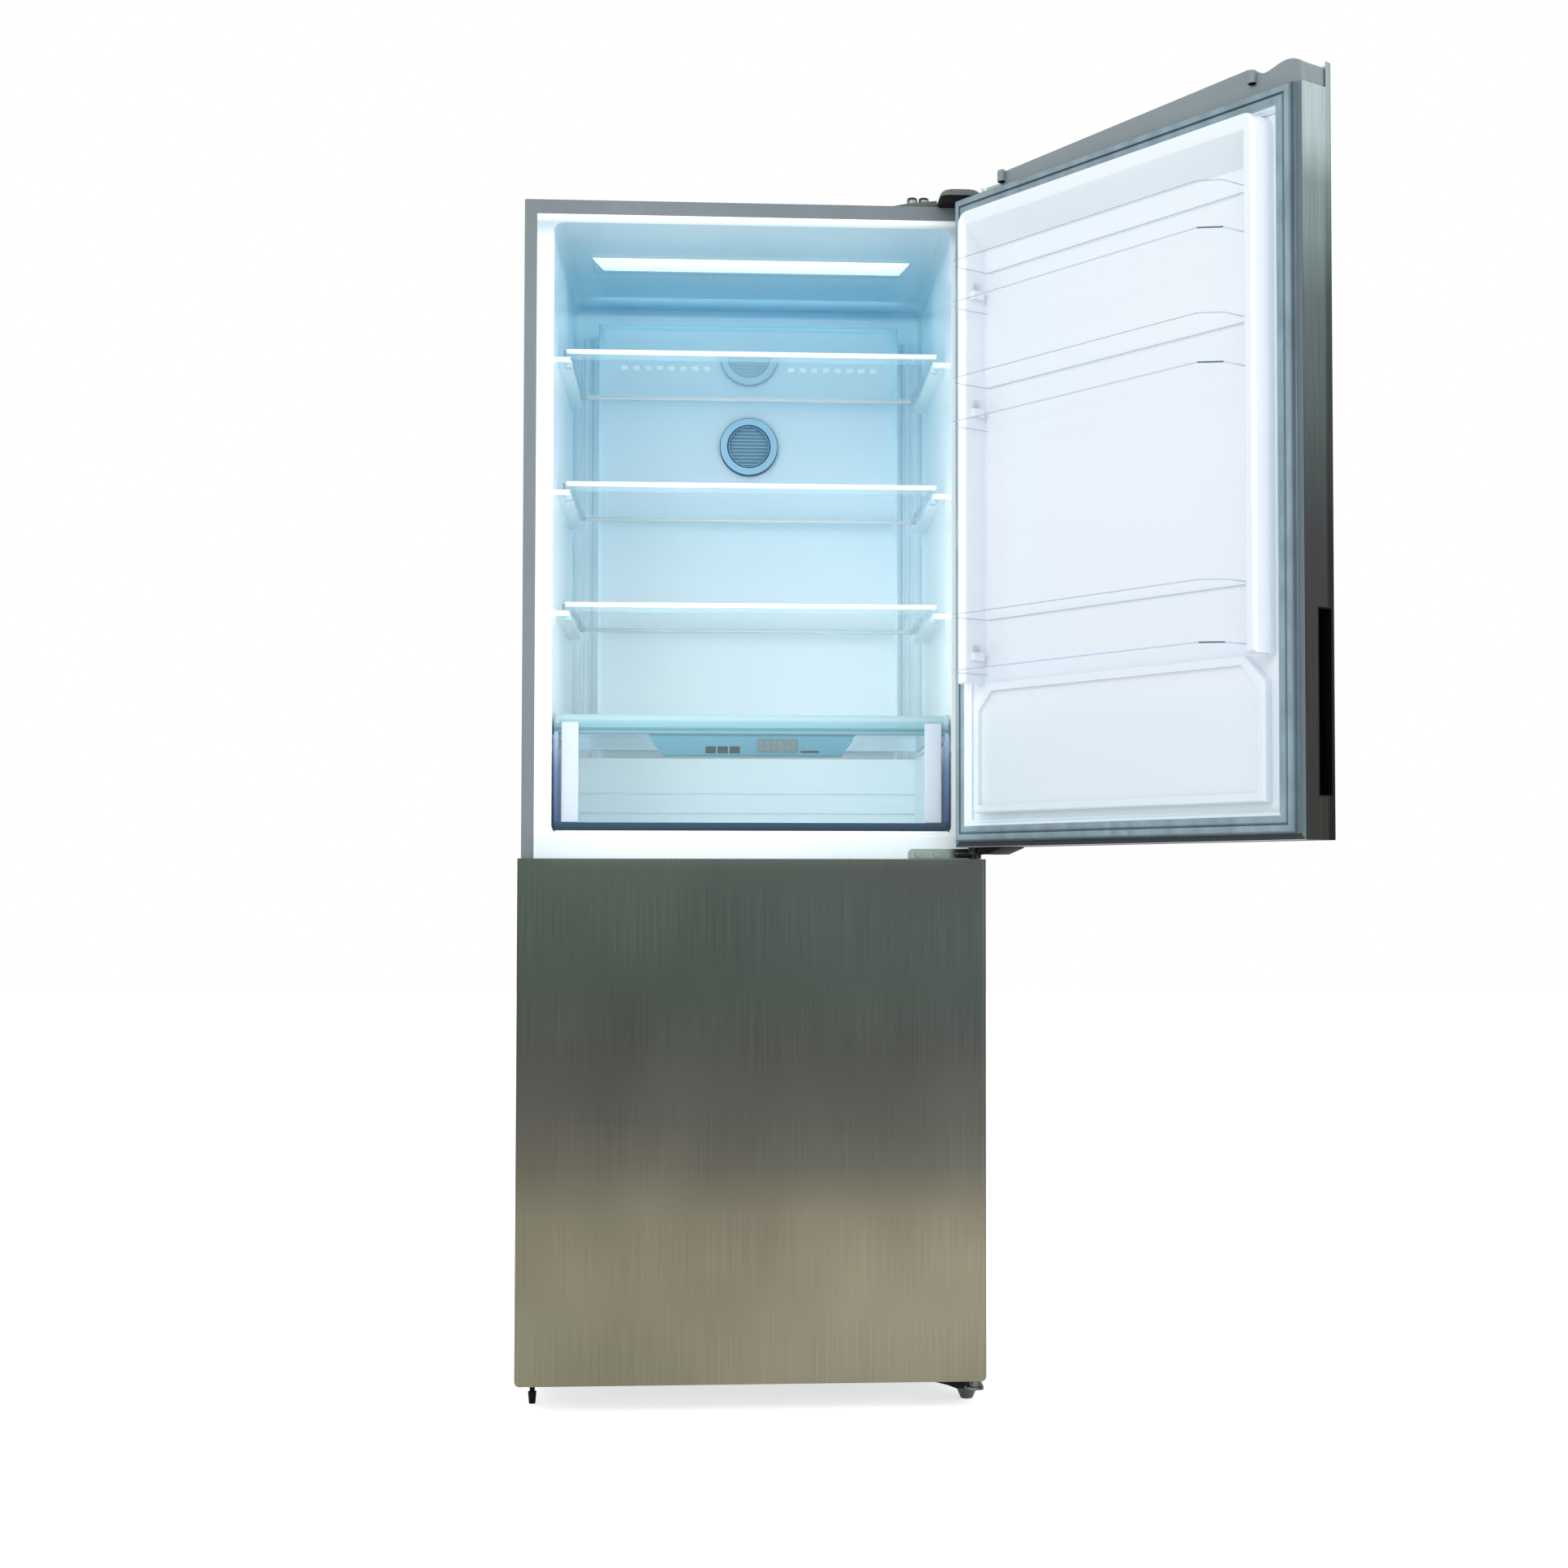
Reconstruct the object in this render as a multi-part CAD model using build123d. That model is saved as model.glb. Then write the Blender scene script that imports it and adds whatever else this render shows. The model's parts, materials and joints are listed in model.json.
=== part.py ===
from build123d import *
import os
from math import sqrt

# Bottom freezer refrigerator, 70 cm wide, millimetres.
# Origin: on the floor, midway between the side panels, in the plane of the cabinet's front flange.
# +X to the right, +Y towards the rear, +Z up. The fridge door is modelled open, the freezer door shut.

# ---- fits ----
seat_gap = 0.3            # between two bodies that rest on or face each other
shaft_gap = 0.05          # radial clearance of a pin in its hole
easy_gap = 0.2            # around a panel that is clipped into a moulding

# ---- cabinet ----
cabinet_width = 700.0
cabinet_height = 1832.0
cabinet_depth = 620.0
floor_gap = 30.0          # underside of the cabinet above the floor
sheet = 1.2               # cabinet steel
liner_wall = 1.5          # vacuum formed inner walls
bend_radius = 2.0         # outer bends of the cabinet steel
side_flange = 19.0        # steel seen round the front, sides
top_flange = 22.0         # steel seen round the front, top

# ---- fridge compartment ----
fridge_side_wall = 45.0
fridge_floor = 860.0
fridge_top_wall = 35.0
fridge_rear_wall = 70.0
liner_corner = 14.0
flange_drop = 3.0         # liner flange below the fridge floor

# ---- freezer compartment ----
freezer_side_wall = 58.0
freezer_floor = 105.0
mullion = 70.0            # between the two compartments
freezer_rear_wall = 80.0
step_slab = 62.0          # foam and walls over the machine room
step_wall = 50.0          # foam and walls in front of the machine room
freezer_corner = 8.0
step_overlap = 24.0       # the lower space runs up into the upper one by this
freezer_flange_low = 60.0

# ---- machine room, low at the rear ----
machine_depth = 200.0
machine_top = 240.0

# ---- doors, sizes as if shut ----
door_gap = 12.0           # cabinet flange to door liner, filled by the gasket
door_thickness = 60.0
door_skin = 1.0
door_edge_radius = 7.0
door_foot_round = 8.0     # lower corners of the freezer door
fridge_door_drop = 20.0   # below the fridge floor
fridge_door_rise = 28.0   # above the cabinet's top
cap_start_drop = 6.0      # the steel sides end this far below the cabinet's top
freezer_door_low = 44.0
doors_apart = 18.0
cap_height = 20.0         # end cap buried in the door
cap_front_strip = 14.0    # steel left in front of the top cap at the side
hinge_inset = 14.0        # hinge axis in from the door's side
hinge_set_back = 35.0     # hinge axis behind the door's face
door_open_angle = 124.0   # how far the fridge door stands open

# ---- door seal ----
seal_inset = 10.0
seal_width = 32.0
seal_base = 4.0           # height of the seal's foot
seal_neck = 3.0
seal_neck_inset = 8.0
seal_head_inset = 2.0
seal_end_inset = 8.0      # from the door's lower or upper end

# ---- moulded door liner ----
dyke_side_gap = 5.0
dyke_width = 19.0
dyke_height = 40.0
dyke_top_gap = 4.0
dyke_lift = 39.0          # above the crisper cover
dyke_band = 21.0          # width of the bar across the top
dyke_fillet = 6.0
cove_drop = 37.0          # slope under the top bar, down to the liner's plane
panel_side_step = 8.0     # raised panel in front of the crisper, in from the dyke
panel_lift = 30.0
panel_height = 15.0
panel_corner = 36.0
panel_rim = 12.0
panel_recess = 6.0
panel_fillet = 3.0
freezer_dyke_side_gap = 12.0
freezer_dyke_end_gap = 10.0
freezer_dyke_width = 24.0
freezer_dyke_height = 8.0

# ---- recessed grips in the doors' free edges ----
grip_length = 246.0
grip_width = 28.0
grip_depth = 32.0
grip_wall = 2.0
grip_lip = 8.0            # door thickness left in front of the grip
fridge_grip_lift = 56.0   # above the door's lower end
freezer_grip_drop = 302.0 # below the door's upper end

# ---- door bins ----
bin_side_gap = 28.0
bin_heights = (64.0, 67.0, 84.0)
bin_lifts = (16.0, 48.0, 12.0)   # above the top shelf, the middle shelf and the dyke's lower end
bin_names = ("top_door_bin", "middle_door_bin", "bottom_door_bin")
bin_wall = 2.5
bin_reach = 90.0          # from the door liner to the bin's front
bin_back_gap = 3.0
bin_corner = 24.0
hook_drop = 22.0          # the lug stands this far above the bin's bottom
hook_height = 12.0
hook_depth = 20.0
hook_back = 8.0           # lug and hook start this far off the door liner
hook_side_gap = 1.0
hook_over = 5.0           # the bin's hook reaches this far over the lug

# ---- door top cap ----
cap_rest_drop = 3.0       # low end by the hinge, below the cabinet's top
cap_flat_rise = 9.0
cap_low_end = 91.0        # length of that low end, from the hinge axis
cap_wall = 12.0
cap_wall_rise = 17.0
cap_peak_rise = 34.0
cap_peak_in = 96.0        # from the door's free edge
cap_dip_in = 68.0         # from the door's free edge
cap_dip_rise = 21.0
cap_end_block = 34.0
cap_end_drop = 2.0        # free end of the wall, below the steel front
cap_side_drop = 4.0       # its outer corner, below the steel front
nub_size = 12.0
nub_reach = 8.0
nub_height = 20.0
nub_lift = 2.0            # of the nub at the hinge end

# ---- hinges ----
pin_radius = 5.0
leaf = 4.0
arm_half = 10.0
hinge_eye = 13.0
hinge_arm_reach = 26.0    # left edge of the lower arms, from the hinge axis
top_leaf_width = 112.0
top_leaf_depth = 58.0
top_leaf_back = 12.0      # leaf starts behind the cabinet's front
top_pin_length = 26.0
middle_leaf_width = 112.0
middle_leaf_drop = 15.5   # below the fridge door
middle_leaf_height = 14.0
middle_leaf_thick = 3.0
middle_plate_drop = 11.0  # below the fridge door
middle_pin_up = 22.0
middle_pin_down = 23.0
thrust_radius = 9.0
bottom_leaf_width = 59.0
bottom_leaf_depth = 60.0
bottom_pin_up = 28.0
hinge_cover_width = 63.0
hinge_cover_depth = 72.0
hinge_cover_height = 17.0
hinge_cover_front = 6.0
hinge_cover_wall = 2.0
hinge_cover_round = 5.0
hinge_cover_inset = 3.0   # from the cabinet's right side
hinge_nose = 14.0         # the cover reaches this far past the hinge axis
hinge_nose_round = 13.0
screw_head_radius = 5.5
screw_head = 3.5
screw_shank = 2.5
bolt_head_radius = 7.0
bolt_head = 12.0
top_screw_inset = 13.0
top_screw_pitch = 18.0
middle_screw_inset = 16.0
middle_screw_pitch = 28.0

# ---- glass shelves ----
shelf_shares = (0.7676, 0.49, 0.2377)   # of the height from the crisper cover to the ceiling
shelf_names = ("top_shelf", "middle_shelf", "bottom_shelf")
shelf_side_gap = 13.0
shelf_front = 100.0
shelf_back_gap = 20.0
shelf_glass = 4.0
glass_inset = 8.0
shelf_frame = 16.0
shelf_drop = 12.0         # frame below the glass top
shelf_lip = 2.0
shelf_upstand = 12.0
shelf_upstand_thick = 4.0
rail_reach = 20.0
rail_thickness = 8.0
rail_front = 90.0
rail_back_gap = 10.0

# ---- ceiling lamp ----
lamp_side_gap = 48.0
lamp_front = 194.0
lamp_back = 295.0
lamp_lens = 3.0
lamp_pocket = 14.0
lamp_board_inset = 17.0
lamp_board_depth = 24.0
lamp_board = 1.6
led_count = 12
led_size = 6.0
led_height = 2.0

# ---- air duct on the fridge's rear wall ----
duct_side_gap = 46.0
duct_thickness = 90.0
duct_top_gap = 44.0
duct_wall = 2.5
duct_corner = 12.0
vent_drop = 118.0         # below the fridge ceiling
vent_count = 8
vent_first = 73.0
vent_last = 215.0
vent_width = 10.0
vent_height = 7.0
disc_drop = 257.0         # below the fridge ceiling
disc_radius = 50.0
disc_depth = 12.0
disc_spigot = 40.0
disc_spigot_depth = 8.0
disc_mouth = 33.5
disc_round = 3.0
grille_thick = 3.0
grille_set_back = 3.0
disc_slots = 7
disc_slot = 3.2
disc_slot_pitch = 8.0

# ---- crisper ----
crisper_side_gap = 3.0
crisper_lift = 8.0
crisper_top_gap = 4.0
crisper_front = 10.0
crisper_panel = 4.0
crisper_return_gap = 1.0  # drawer front's side returns to the cover's front bar
crisper_edge = 10.0
crisper_corner = 9.0
tub_side_gap = 17.0
tub_top_gap = 14.0
tub_back_gap = 20.0
tub_wall = 2.5
tub_rail = 6.0
tub_rail_in = 262.0
tub_rail_width = 10.0
ledge_reach = 13.0
ledge_thickness = 8.0
cover_lift = 154.0        # above the fridge floor
cover_height = 30.0
cover_glass = 4.0
cover_front = 20.0
cover_bar = 12.0
cover_side_gap = 2.0
cover_side = 15.0
cover_back_gap = 8.0
cover_glass_drop = 8.0    # front bar stands above the underside of the glass by this
hood_top_half = 154.0
hood_low_half = 141.0
hood_height = 34.0
hood_front = 22.0
hood_depth = 22.0
slot_across = (-17.0, 103.0)
slot_drop = 6.0           # below the middle of the hood
slot_height = 4.0
slot_depth = 6.0
slider_across = (8.0, 69.0)
slider_height = 20.0
slider_plate = 2.5
slider_ribs = 6
slider_groove = 3.0
slider_groove_depth = 1.2
tongue_across = (62.0, 68.0)
louvre_count = 3
louvre_first = -73.0
louvre_pitch = 18.5
louvre_width = 15.0
louvre_height = 14.0

# ---- freezer drawers ----
top_drawer_height = 185.0
top_drawer_gap = 20.0     # to the freezer ceiling
drawers_apart = 25.0
middle_drawer_lift = 28.0 # above the step
bottom_drawer_lift = 13.0
bottom_drawer_drop = 2.0  # below the step
drawer_back_gap = 10.0
drawer_side_gap = 12.0
drawer_rim_gap = 3.0
drawer_rim = 4.0
drawer_front = 30.0
drawer_panel = 4.0
drawer_wall = 2.5
drawer_pull = 9.0         # lip along the drawer's top front edge
drawer_pull_height = 14.0
runner_reach = 9.0
runner_height = 6.0

# ---- freezer air side ----
screen_gap = 85.0         # panel that hides the evaporator, from the rear wall
screen_thick = 3.0
coil_tube = 4.0
fin_side_gap = 77.0
fin_count = 20
fin_thick = 1.0
fin_front_gap = 17.0
fin_back_gap = 12.0
fin_lift = 78.0           # above the step
fin_fan_gap = 100.0
coil_pitch = 32.0
coil_bend = 14.0
coil_overhang = 22.0
fan_drop = 100.0          # below the freezer ceiling
fan_radius = 46.0
fan_hub = 14.0
fan_gap = 8.0             # behind the screen
fan_depth = 20.0
fan_blades = 7
fan_pitch = 32.0
blade_thick = 1.6
blade_chord = 24.0
blade_root = 2.0          # end of each blade inside the hub
fan_pin = 3.0
fan_mouth = 50.0
spoke_width = 5.0
spoke_count = 4
return_slots = 14
return_slot_pitch = 36.0
return_slot_width = 24.0
return_slot_height = 8.0
return_slot_lift = 33.0   # above the step

# ---- machine room parts ----
compressor_x = 100.0
compressor_back_gap = 100.0 # from the cabinet's back to its axis
compressor_radius = 74.0
compressor_low = 55.0
compressor_top_gap = 35.0
compressor_dome = 34.0
compressor_foot = 3.0
compressor_foot_x = 95.0
compressor_foot_y = 60.0
mount_radius = 11.0
mount_inset = 14.0
tray_roller_gap = 15.0
tray_inner_end = -40.0
tray_front_gap = 30.0
tray_back_gap = 20.0
tray_height = 30.0
tray_wall = 2.0
condenser_tube = 3.0
condenser_in_tray = (15.0, 30.0)    # gaps to the tray's two ends
condenser_low = 92.0
condenser_pitch = 24.0
condenser_runs = 6
condenser_bend = 11.0
strap_half = 6.0
strap_thick = 2.0
strap_inset = 30.0
box_width = 109.0
box_side_gap = 5.0
box_front_gap = 20.0
box_back_gap = 40.0
box_height = 90.0
box_wall = 2.0
gland_side_gap = 50.0     # from the cabinet's left side to its axis
gland_z = 120.0
gland_radius = 11.0
gland_bore = 4.0
gland_flange = 16.0
gland_out = 4.0
gland_in = 10.0
cover_slots = 16
cover_slot_pitch = 34.0
cover_slot_width = 22.0
cover_slot_height = 6.0
cover_slot_levels = (150.0, 170.0, 190.0)

# ---- feet and rollers ----
foot_inset = 20.0
foot_y = 25.0
left_foot_radii = (5.0, 6.5)      # at the floor and at the top of its cone
right_foot_radii = (9.0, 17.0)
foot_toe = 1.0            # rounding at the floor
foot_cone = 18.0
foot_stem = 4.0
foot_stem_top = 56.0
stem_pocket = 7.0
roller_radius = 20.0
roller_width = 20.0
roller_inset = 40.0
roller_back_gap = 35.0
axle_radius = 3.5
fork_gap = 1.5
fork_wall = 2.5
fork_low = 9.0
fork_half = 10.0
slot_clear = 5.0          # cut-out in the base round each roller

# ---- places worked out from the sizes above ----
half = cabinet_width / 2
fridge_half = half - fridge_side_wall
fridge_ceiling = cabinet_height - fridge_top_wall
fridge_depth = cabinet_depth - fridge_rear_wall
freezer_half = half - freezer_side_wall
freezer_ceiling = fridge_floor - mullion
freezer_depth = cabinet_depth - freezer_rear_wall
machine_front = cabinet_depth - machine_depth
step_height = machine_top + step_slab
step_front = machine_front - step_wall
fridge_door_low = fridge_floor - fridge_door_drop
fridge_door_high = cabinet_height + fridge_door_rise
fridge_cap_low = cabinet_height - cap_start_drop
freezer_door_high = fridge_door_low - doors_apart
screen_front = freezer_depth - screen_gap
duct_front = fridge_depth - duct_thickness
cover_low = fridge_floor + cover_lift
cover_high = cover_low + cover_height
dyke_outer = fridge_half - dyke_side_gap
dyke_top = fridge_ceiling - dyke_top_gap
dyke_low = cover_high + dyke_lift
panel_half = dyke_outer - panel_side_step
panel_low = fridge_floor + panel_lift
freezer_dyke_half = freezer_half - freezer_dyke_side_gap
freezer_dyke_low = freezer_floor + freezer_dyke_end_gap
freezer_dyke_high = freezer_ceiling - freezer_dyke_end_gap
fridge_grip_low = fridge_door_low + fridge_grip_lift
freezer_grip_low = freezer_door_high - freezer_grip_drop
bin_half = dyke_outer - bin_side_gap
cap_rest = cabinet_height - cap_rest_drop
cap_flat = cabinet_height + cap_flat_rise
cap_wall_start = cabinet_height + cap_wall_rise
cap_wall_peak = cabinet_height + cap_peak_rise
cap_dip = cabinet_height + cap_dip_rise
cap_peak_at = -half + cap_peak_in
cap_dip_at = -half + cap_dip_in
middle_leaf_low = fridge_door_low - middle_leaf_drop
middle_plate_low = fridge_door_low - middle_plate_drop
shelf_half = fridge_half - shelf_side_gap
shelf_back = duct_front - shelf_back_gap
rail_back = duct_front - rail_back_gap
lamp_half = fridge_half - lamp_side_gap
lamp_board_half = lamp_half - lamp_board_inset
duct_half = fridge_half - duct_side_gap
duct_top = fridge_ceiling - duct_top_gap
vent_level = fridge_ceiling - vent_drop
disc_level = fridge_ceiling - disc_drop
crisper_half = fridge_half - crisper_side_gap
crisper_low = fridge_floor + crisper_lift
crisper_high = cover_high - crisper_top_gap
tub_half = fridge_half - tub_side_gap
tub_high = cover_low - tub_top_gap
tub_back = duct_front - tub_back_gap
cover_half = fridge_half - cover_side_gap
cover_back = duct_front - cover_back_gap
hood_low = cover_low - hood_height
hood_middle = (hood_low + cover_low) / 2
slot_level = hood_middle - slot_drop
drawer_half = freezer_half - drawer_side_gap
drawer_rim_half = freezer_half - drawer_rim_gap
fan_level = freezer_ceiling - fan_drop
fan_front = screen_front + fan_gap
fin_half = freezer_half - fin_side_gap
fin_front = screen_front + fin_front_gap
fin_back = freezer_depth - fin_back_gap
fin_low = step_height + fin_lift
fin_high = fan_level - fin_fan_gap
return_slot_level = step_height + return_slot_lift
compressor_y = cabinet_depth - compressor_back_gap
compressor_high = machine_top - compressor_top_gap
box_low = machine_top - box_height
foot_x = half - foot_inset
roller_x = half - roller_inset
roller_y = cabinet_depth - roller_back_gap
tray_x = (tray_roller_gap + roller_width / 2 - roller_x, tray_inner_end)
gland_x = gland_side_gap - half
tray_y = (machine_front + tray_front_gap, cabinet_depth - tray_back_gap)
condenser_x = (tray_x[0] + condenser_in_tray[0], tray_x[1] - condenser_in_tray[1])
box_x = (half - box_side_gap - box_width, half - box_side_gap)
box_y = (machine_front + box_front_gap, cabinet_depth - box_back_gap)
shelf_levels = [cover_high + share * (fridge_ceiling - cover_high) for share in shelf_shares]
bin_rests = (shelf_levels[0], shelf_levels[1], dyke_low)
bin_lows = [rest + lift for rest, lift in zip(bin_rests, bin_lifts)]
bin_levels = [(low, low + height) for low, height in zip(bin_lows, bin_heights)]
top_drawer_high = freezer_ceiling - top_drawer_gap
top_drawer_low = top_drawer_high - top_drawer_height
upper_drawer_back = screen_front - drawer_back_gap
freezer_drawers = (
    ("top_freezer_drawer", top_drawer_low, top_drawer_high, upper_drawer_back),
    ("middle_freezer_drawer", step_height + middle_drawer_lift, top_drawer_low - drawers_apart,
     upper_drawer_back),
    ("bottom_freezer_drawer", freezer_floor + bottom_drawer_lift, step_height - bottom_drawer_drop,
     step_front - drawer_back_gap))
inside = half - sheet
rear = cabinet_depth - sheet
top_inside = cabinet_height - sheet
base_top = floor_gap + liner_wall
door_back = -door_gap
door_face = door_back - door_thickness
door_inside = half - door_skin
hinge_x = half - hinge_inset
hinge_y = door_face + hinge_set_back
fridge_outer = fridge_half + liner_wall
freezer_outer = freezer_half + liner_wall
mullion_low = freezer_ceiling + liner_wall
mullion_high = fridge_floor - liner_wall
flange_half = half - side_flange
tub_low = fridge_floor + tub_rail + seat_gap
duct_low = fridge_floor + liner_corner
crisper_panel_back = cover_front - crisper_return_gap
cap_top_low = fridge_cap_low - cap_height
compressor_foot_low = compressor_low - compressor_foot

pieces = {}


def block(x, y, z):
    """A box from its low and high limits along each axis."""
    size = [high - low for low, high in (x, y, z)]
    middle = [(high + low) / 2 for low, high in (x, y, z)]
    return Pos(*middle) * Box(*size)


def both_ways(x):
    return (-x, x)


def rod(radius, axis, centre, span):
    """A round bar along X, Y or Z; centre holds its two other coordinates, in order."""
    length, middle = span[1] - span[0], (span[0] + span[1]) / 2
    bar = Cylinder(radius, length)
    if axis == "X":
        return Pos(middle, *centre) * Rot(0, 90, 0) * bar
    if axis == "Y":
        return Pos(centre[0], middle, centre[1]) * Rot(90, 0, 0) * bar
    return Pos(*centre, middle) * bar


def prism_y(points, y):
    """Outline in X and Z, made solid between two depths."""
    face = make_face(Polyline(*[(px, y[1], pz) for px, pz in points], close=True))
    return extrude(face, amount=y[1] - y[0], dir=(0, -1, 0))


def prism_z(points, z):
    """Outline in X and Y, made solid between two heights."""
    face = make_face(Polyline(*[(px, py, z[0]) for px, py in points], close=True))
    return extrude(face, amount=z[1] - z[0], dir=(0, 0, 1))


def prism_x(points, x):
    """Outline in Y and Z, made solid between two places across."""
    face = make_face(Polyline(*[(x[0], py, pz) for py, pz in points], close=True))
    return extrude(face, amount=x[1] - x[0], dir=(1, 0, 0))


def joined(shapes):
    total = shapes[0]
    for shape in shapes[1:]:
        total = total + shape
    return total


def mirrored_pair(shape):
    return [shape, mirror(shape, Plane.YZ)]


def serpentine(tube, x, y, low, pitch, runs, bend, lead=(), tail=()):
    """One unbroken tube that runs to and fro in X and climbs in Z."""
    corners = []
    for run in range(runs):
        z = low + run * pitch
        ends = x if run % 2 else (x[1], x[0])
        corners += [(ends[0], y, z), (ends[1], y, z)]
    if lead:
        corners[0] = lead
    path = FilletPolyline(*corners, *tail, radius=bend)
    start = Plane(origin=path @ 0, z_dir=path % 0)
    return sweep(start * Circle(tube), path=path)


# ================= cabinet =================

def cabinet_shell():
    outer = block(both_ways(half), (0, cabinet_depth), (floor_gap, cabinet_height))
    top_edges = outer.faces().sort_by(Axis.Z)[-1].edges().filter_by(Axis.Y)
    outer = fillet(top_edges, bend_radius)
    hollow = block(both_ways(inside), (sheet, cabinet_depth), (floor_gap, top_inside))
    window = block(both_ways(flange_half), (0, sheet), (floor_gap, cabinet_height - top_flange))
    return outer - hollow - window


def insulation_foam():
    full = both_ways(inside)
    pocket = block(both_ways(lamp_half), (lamp_front, lamp_back),
                   (fridge_ceiling, fridge_ceiling + lamp_pocket))
    stems = [rod(stem_pocket, "Z", (side * foot_x, foot_y), (base_top, foot_stem_top + seat_gap))
             for side in (-1, 1)]
    front = liner_wall
    slabs = [
        block(full, (front, rear), (fridge_ceiling + liner_wall, top_inside)) - pocket,
        block(full, (fridge_depth + liner_wall, rear), (mullion_low, fridge_ceiling + liner_wall)),
        block(full, (front, fridge_depth + liner_wall), (mullion_low, mullion_high)),
        block(full, (freezer_depth + liner_wall, rear), (step_height - liner_wall, mullion_low)),
        block(full, (machine_front, rear), (machine_top, step_height - liner_wall)),
        block(full, (step_front + liner_wall, machine_front), (base_top, step_height - liner_wall)),
        block(full, (front, step_front + liner_wall), (base_top, freezer_floor - liner_wall)) - joined(stems),
    ]
    walls = [
        block((fridge_outer, inside), (front, fridge_depth + liner_wall),
              (mullion_high, fridge_ceiling + liner_wall)),
        block((freezer_outer, inside), (front, freezer_depth + liner_wall),
              (step_height - liner_wall, mullion_low)),
        block((freezer_outer, inside), (front, step_front + liner_wall),
              (freezer_floor - liner_wall, step_height - liner_wall)),
    ]
    for wall in walls:
        slabs += mirrored_pair(wall)
    return Compound(children=[part for slab in slabs for part in slab.solids()])


def pan(half_width, depth, z, corner):
    """Space of a compartment, rounded except at its mouth."""
    body = block(both_ways(half_width), (0, depth), z)
    mouth = body.faces().sort_by(Axis.Y)[0].edges()
    return fillet([edge for edge in body.edges() if edge not in mouth], corner)


def flange(window_half, window_z, z):
    plate = block(both_ways(flange_half), (0, liner_wall), z)
    return plate - block(both_ways(window_half), (0, liner_wall), window_z)


def fridge_liner():
    tall = (fridge_floor, fridge_ceiling)
    outer_tall = (mullion_high, fridge_ceiling + liner_wall)
    shell = pan(fridge_outer, fridge_depth + liner_wall, outer_tall, liner_corner + liner_wall)
    space = pan(fridge_half, fridge_depth, tall, liner_corner)
    rim = flange(fridge_half - liner_corner, tall, (fridge_floor - flange_drop, cabinet_height - top_flange))
    shell = (shell + rim) - space
    lamp_hole = block(both_ways(lamp_half), (lamp_front, lamp_back),
                      (fridge_ceiling - lamp_lens, fridge_ceiling + liner_wall))
    rails = []
    for level in shelf_levels:
        top = level - shelf_drop - seat_gap
        rails.append(block((fridge_half - rail_reach, fridge_half), (rail_front, rail_back),
                           (top - rail_thickness, top)))
    rails.append(block((fridge_half - ledge_reach, fridge_half), (cover_front + cover_bar, cover_back),
                       (cover_low - ledge_thickness, cover_low)))
    rails.append(block((tub_rail_in, tub_rail_in + tub_rail_width), (crisper_panel_back, tub_back),
                       (fridge_floor, fridge_floor + tub_rail)))
    for rail in rails:
        for one in mirrored_pair(rail):
            shell = shell + one
    return shell - lamp_hole


def freezer_liner():
    upper = (step_height, freezer_ceiling)
    lower = (freezer_floor, step_height + step_overlap)
    upper_out = (step_height - liner_wall, freezer_ceiling + liner_wall)
    lower_out = (freezer_floor - liner_wall, step_height + step_overlap)
    shell = pan(freezer_outer, freezer_depth + liner_wall, upper_out, freezer_corner + liner_wall)
    shell = shell + block(both_ways(freezer_outer), (0, step_front + liner_wall), lower_out)
    rim = flange(freezer_half - freezer_corner, (freezer_floor, freezer_ceiling),
                 (freezer_flange_low, freezer_ceiling + liner_wall))
    shell = shell + rim
    shell = shell - pan(freezer_half, freezer_depth, upper, freezer_corner)
    shell = shell - block(both_ways(freezer_half), (0, step_front), lower)
    for name, low, high, back in freezer_drawers:
        top = high - drawer_rim - seat_gap
        runner = block((freezer_half - runner_reach, freezer_half),
                       (drawer_front + drawer_panel + easy_gap, back), (top - runner_height, top))
        for one in mirrored_pair(runner):
            shell = shell + one
    return shell


def mullion_trim():
    return block(both_ways(flange_half), (0, liner_wall),
                 (freezer_ceiling + liner_wall, fridge_floor - flange_drop))


def base_plate():
    plate = block(both_ways(inside), (liner_wall, rear), (floor_gap, base_top))
    cheek = block((inside - liner_wall, inside), (machine_front, rear), (base_top, machine_top))
    fork_x = roller_width / 2 + fork_gap
    slot = block((roller_x - fork_x, roller_x + fork_x),
                 (roller_y - roller_radius - slot_clear, roller_y + roller_radius + slot_clear),
                 (floor_gap, base_top))
    fork = [block((x, x + fork_wall), (roller_y - fork_half, roller_y + fork_half), (fork_low, floor_gap))
            for x in (roller_x - fork_x - fork_wall, roller_x + fork_x)]
    reach = fork_x + fork_wall
    hole = rod(axle_radius + shaft_gap, "X", (roller_y, roller_radius), (roller_x - reach, roller_x + reach))
    stem_hole = rod(foot_stem + shaft_gap, "Z", (foot_x, foot_y), (floor_gap, base_top))
    for one in mirrored_pair(cheek):
        plate = plate + one
    for cheeks in fork:
        for one in mirrored_pair(cheeks):
            plate = plate + one
    for cut in (slot, hole, stem_hole):
        for one in mirrored_pair(cut):
            plate = plate - one
    return plate


def rear_panel():
    return block(both_ways(inside), (rear, cabinet_depth), (machine_top, top_inside))


def machine_room_cover():
    plate = block(both_ways(inside), (rear, cabinet_depth), (base_top, machine_top))
    first = -(cover_slots - 1) / 2 * cover_slot_pitch
    for level in cover_slot_levels:
        for number in range(cover_slots):
            x = first + number * cover_slot_pitch
            plate = plate - block((x - cover_slot_width / 2, x + cover_slot_width / 2), (rear, cabinet_depth),
                                  (level, level + cover_slot_height))
    return plate - rod(gland_radius, "Y", (gland_x, gland_z), (rear, cabinet_depth))


# ================= machine room =================

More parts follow.
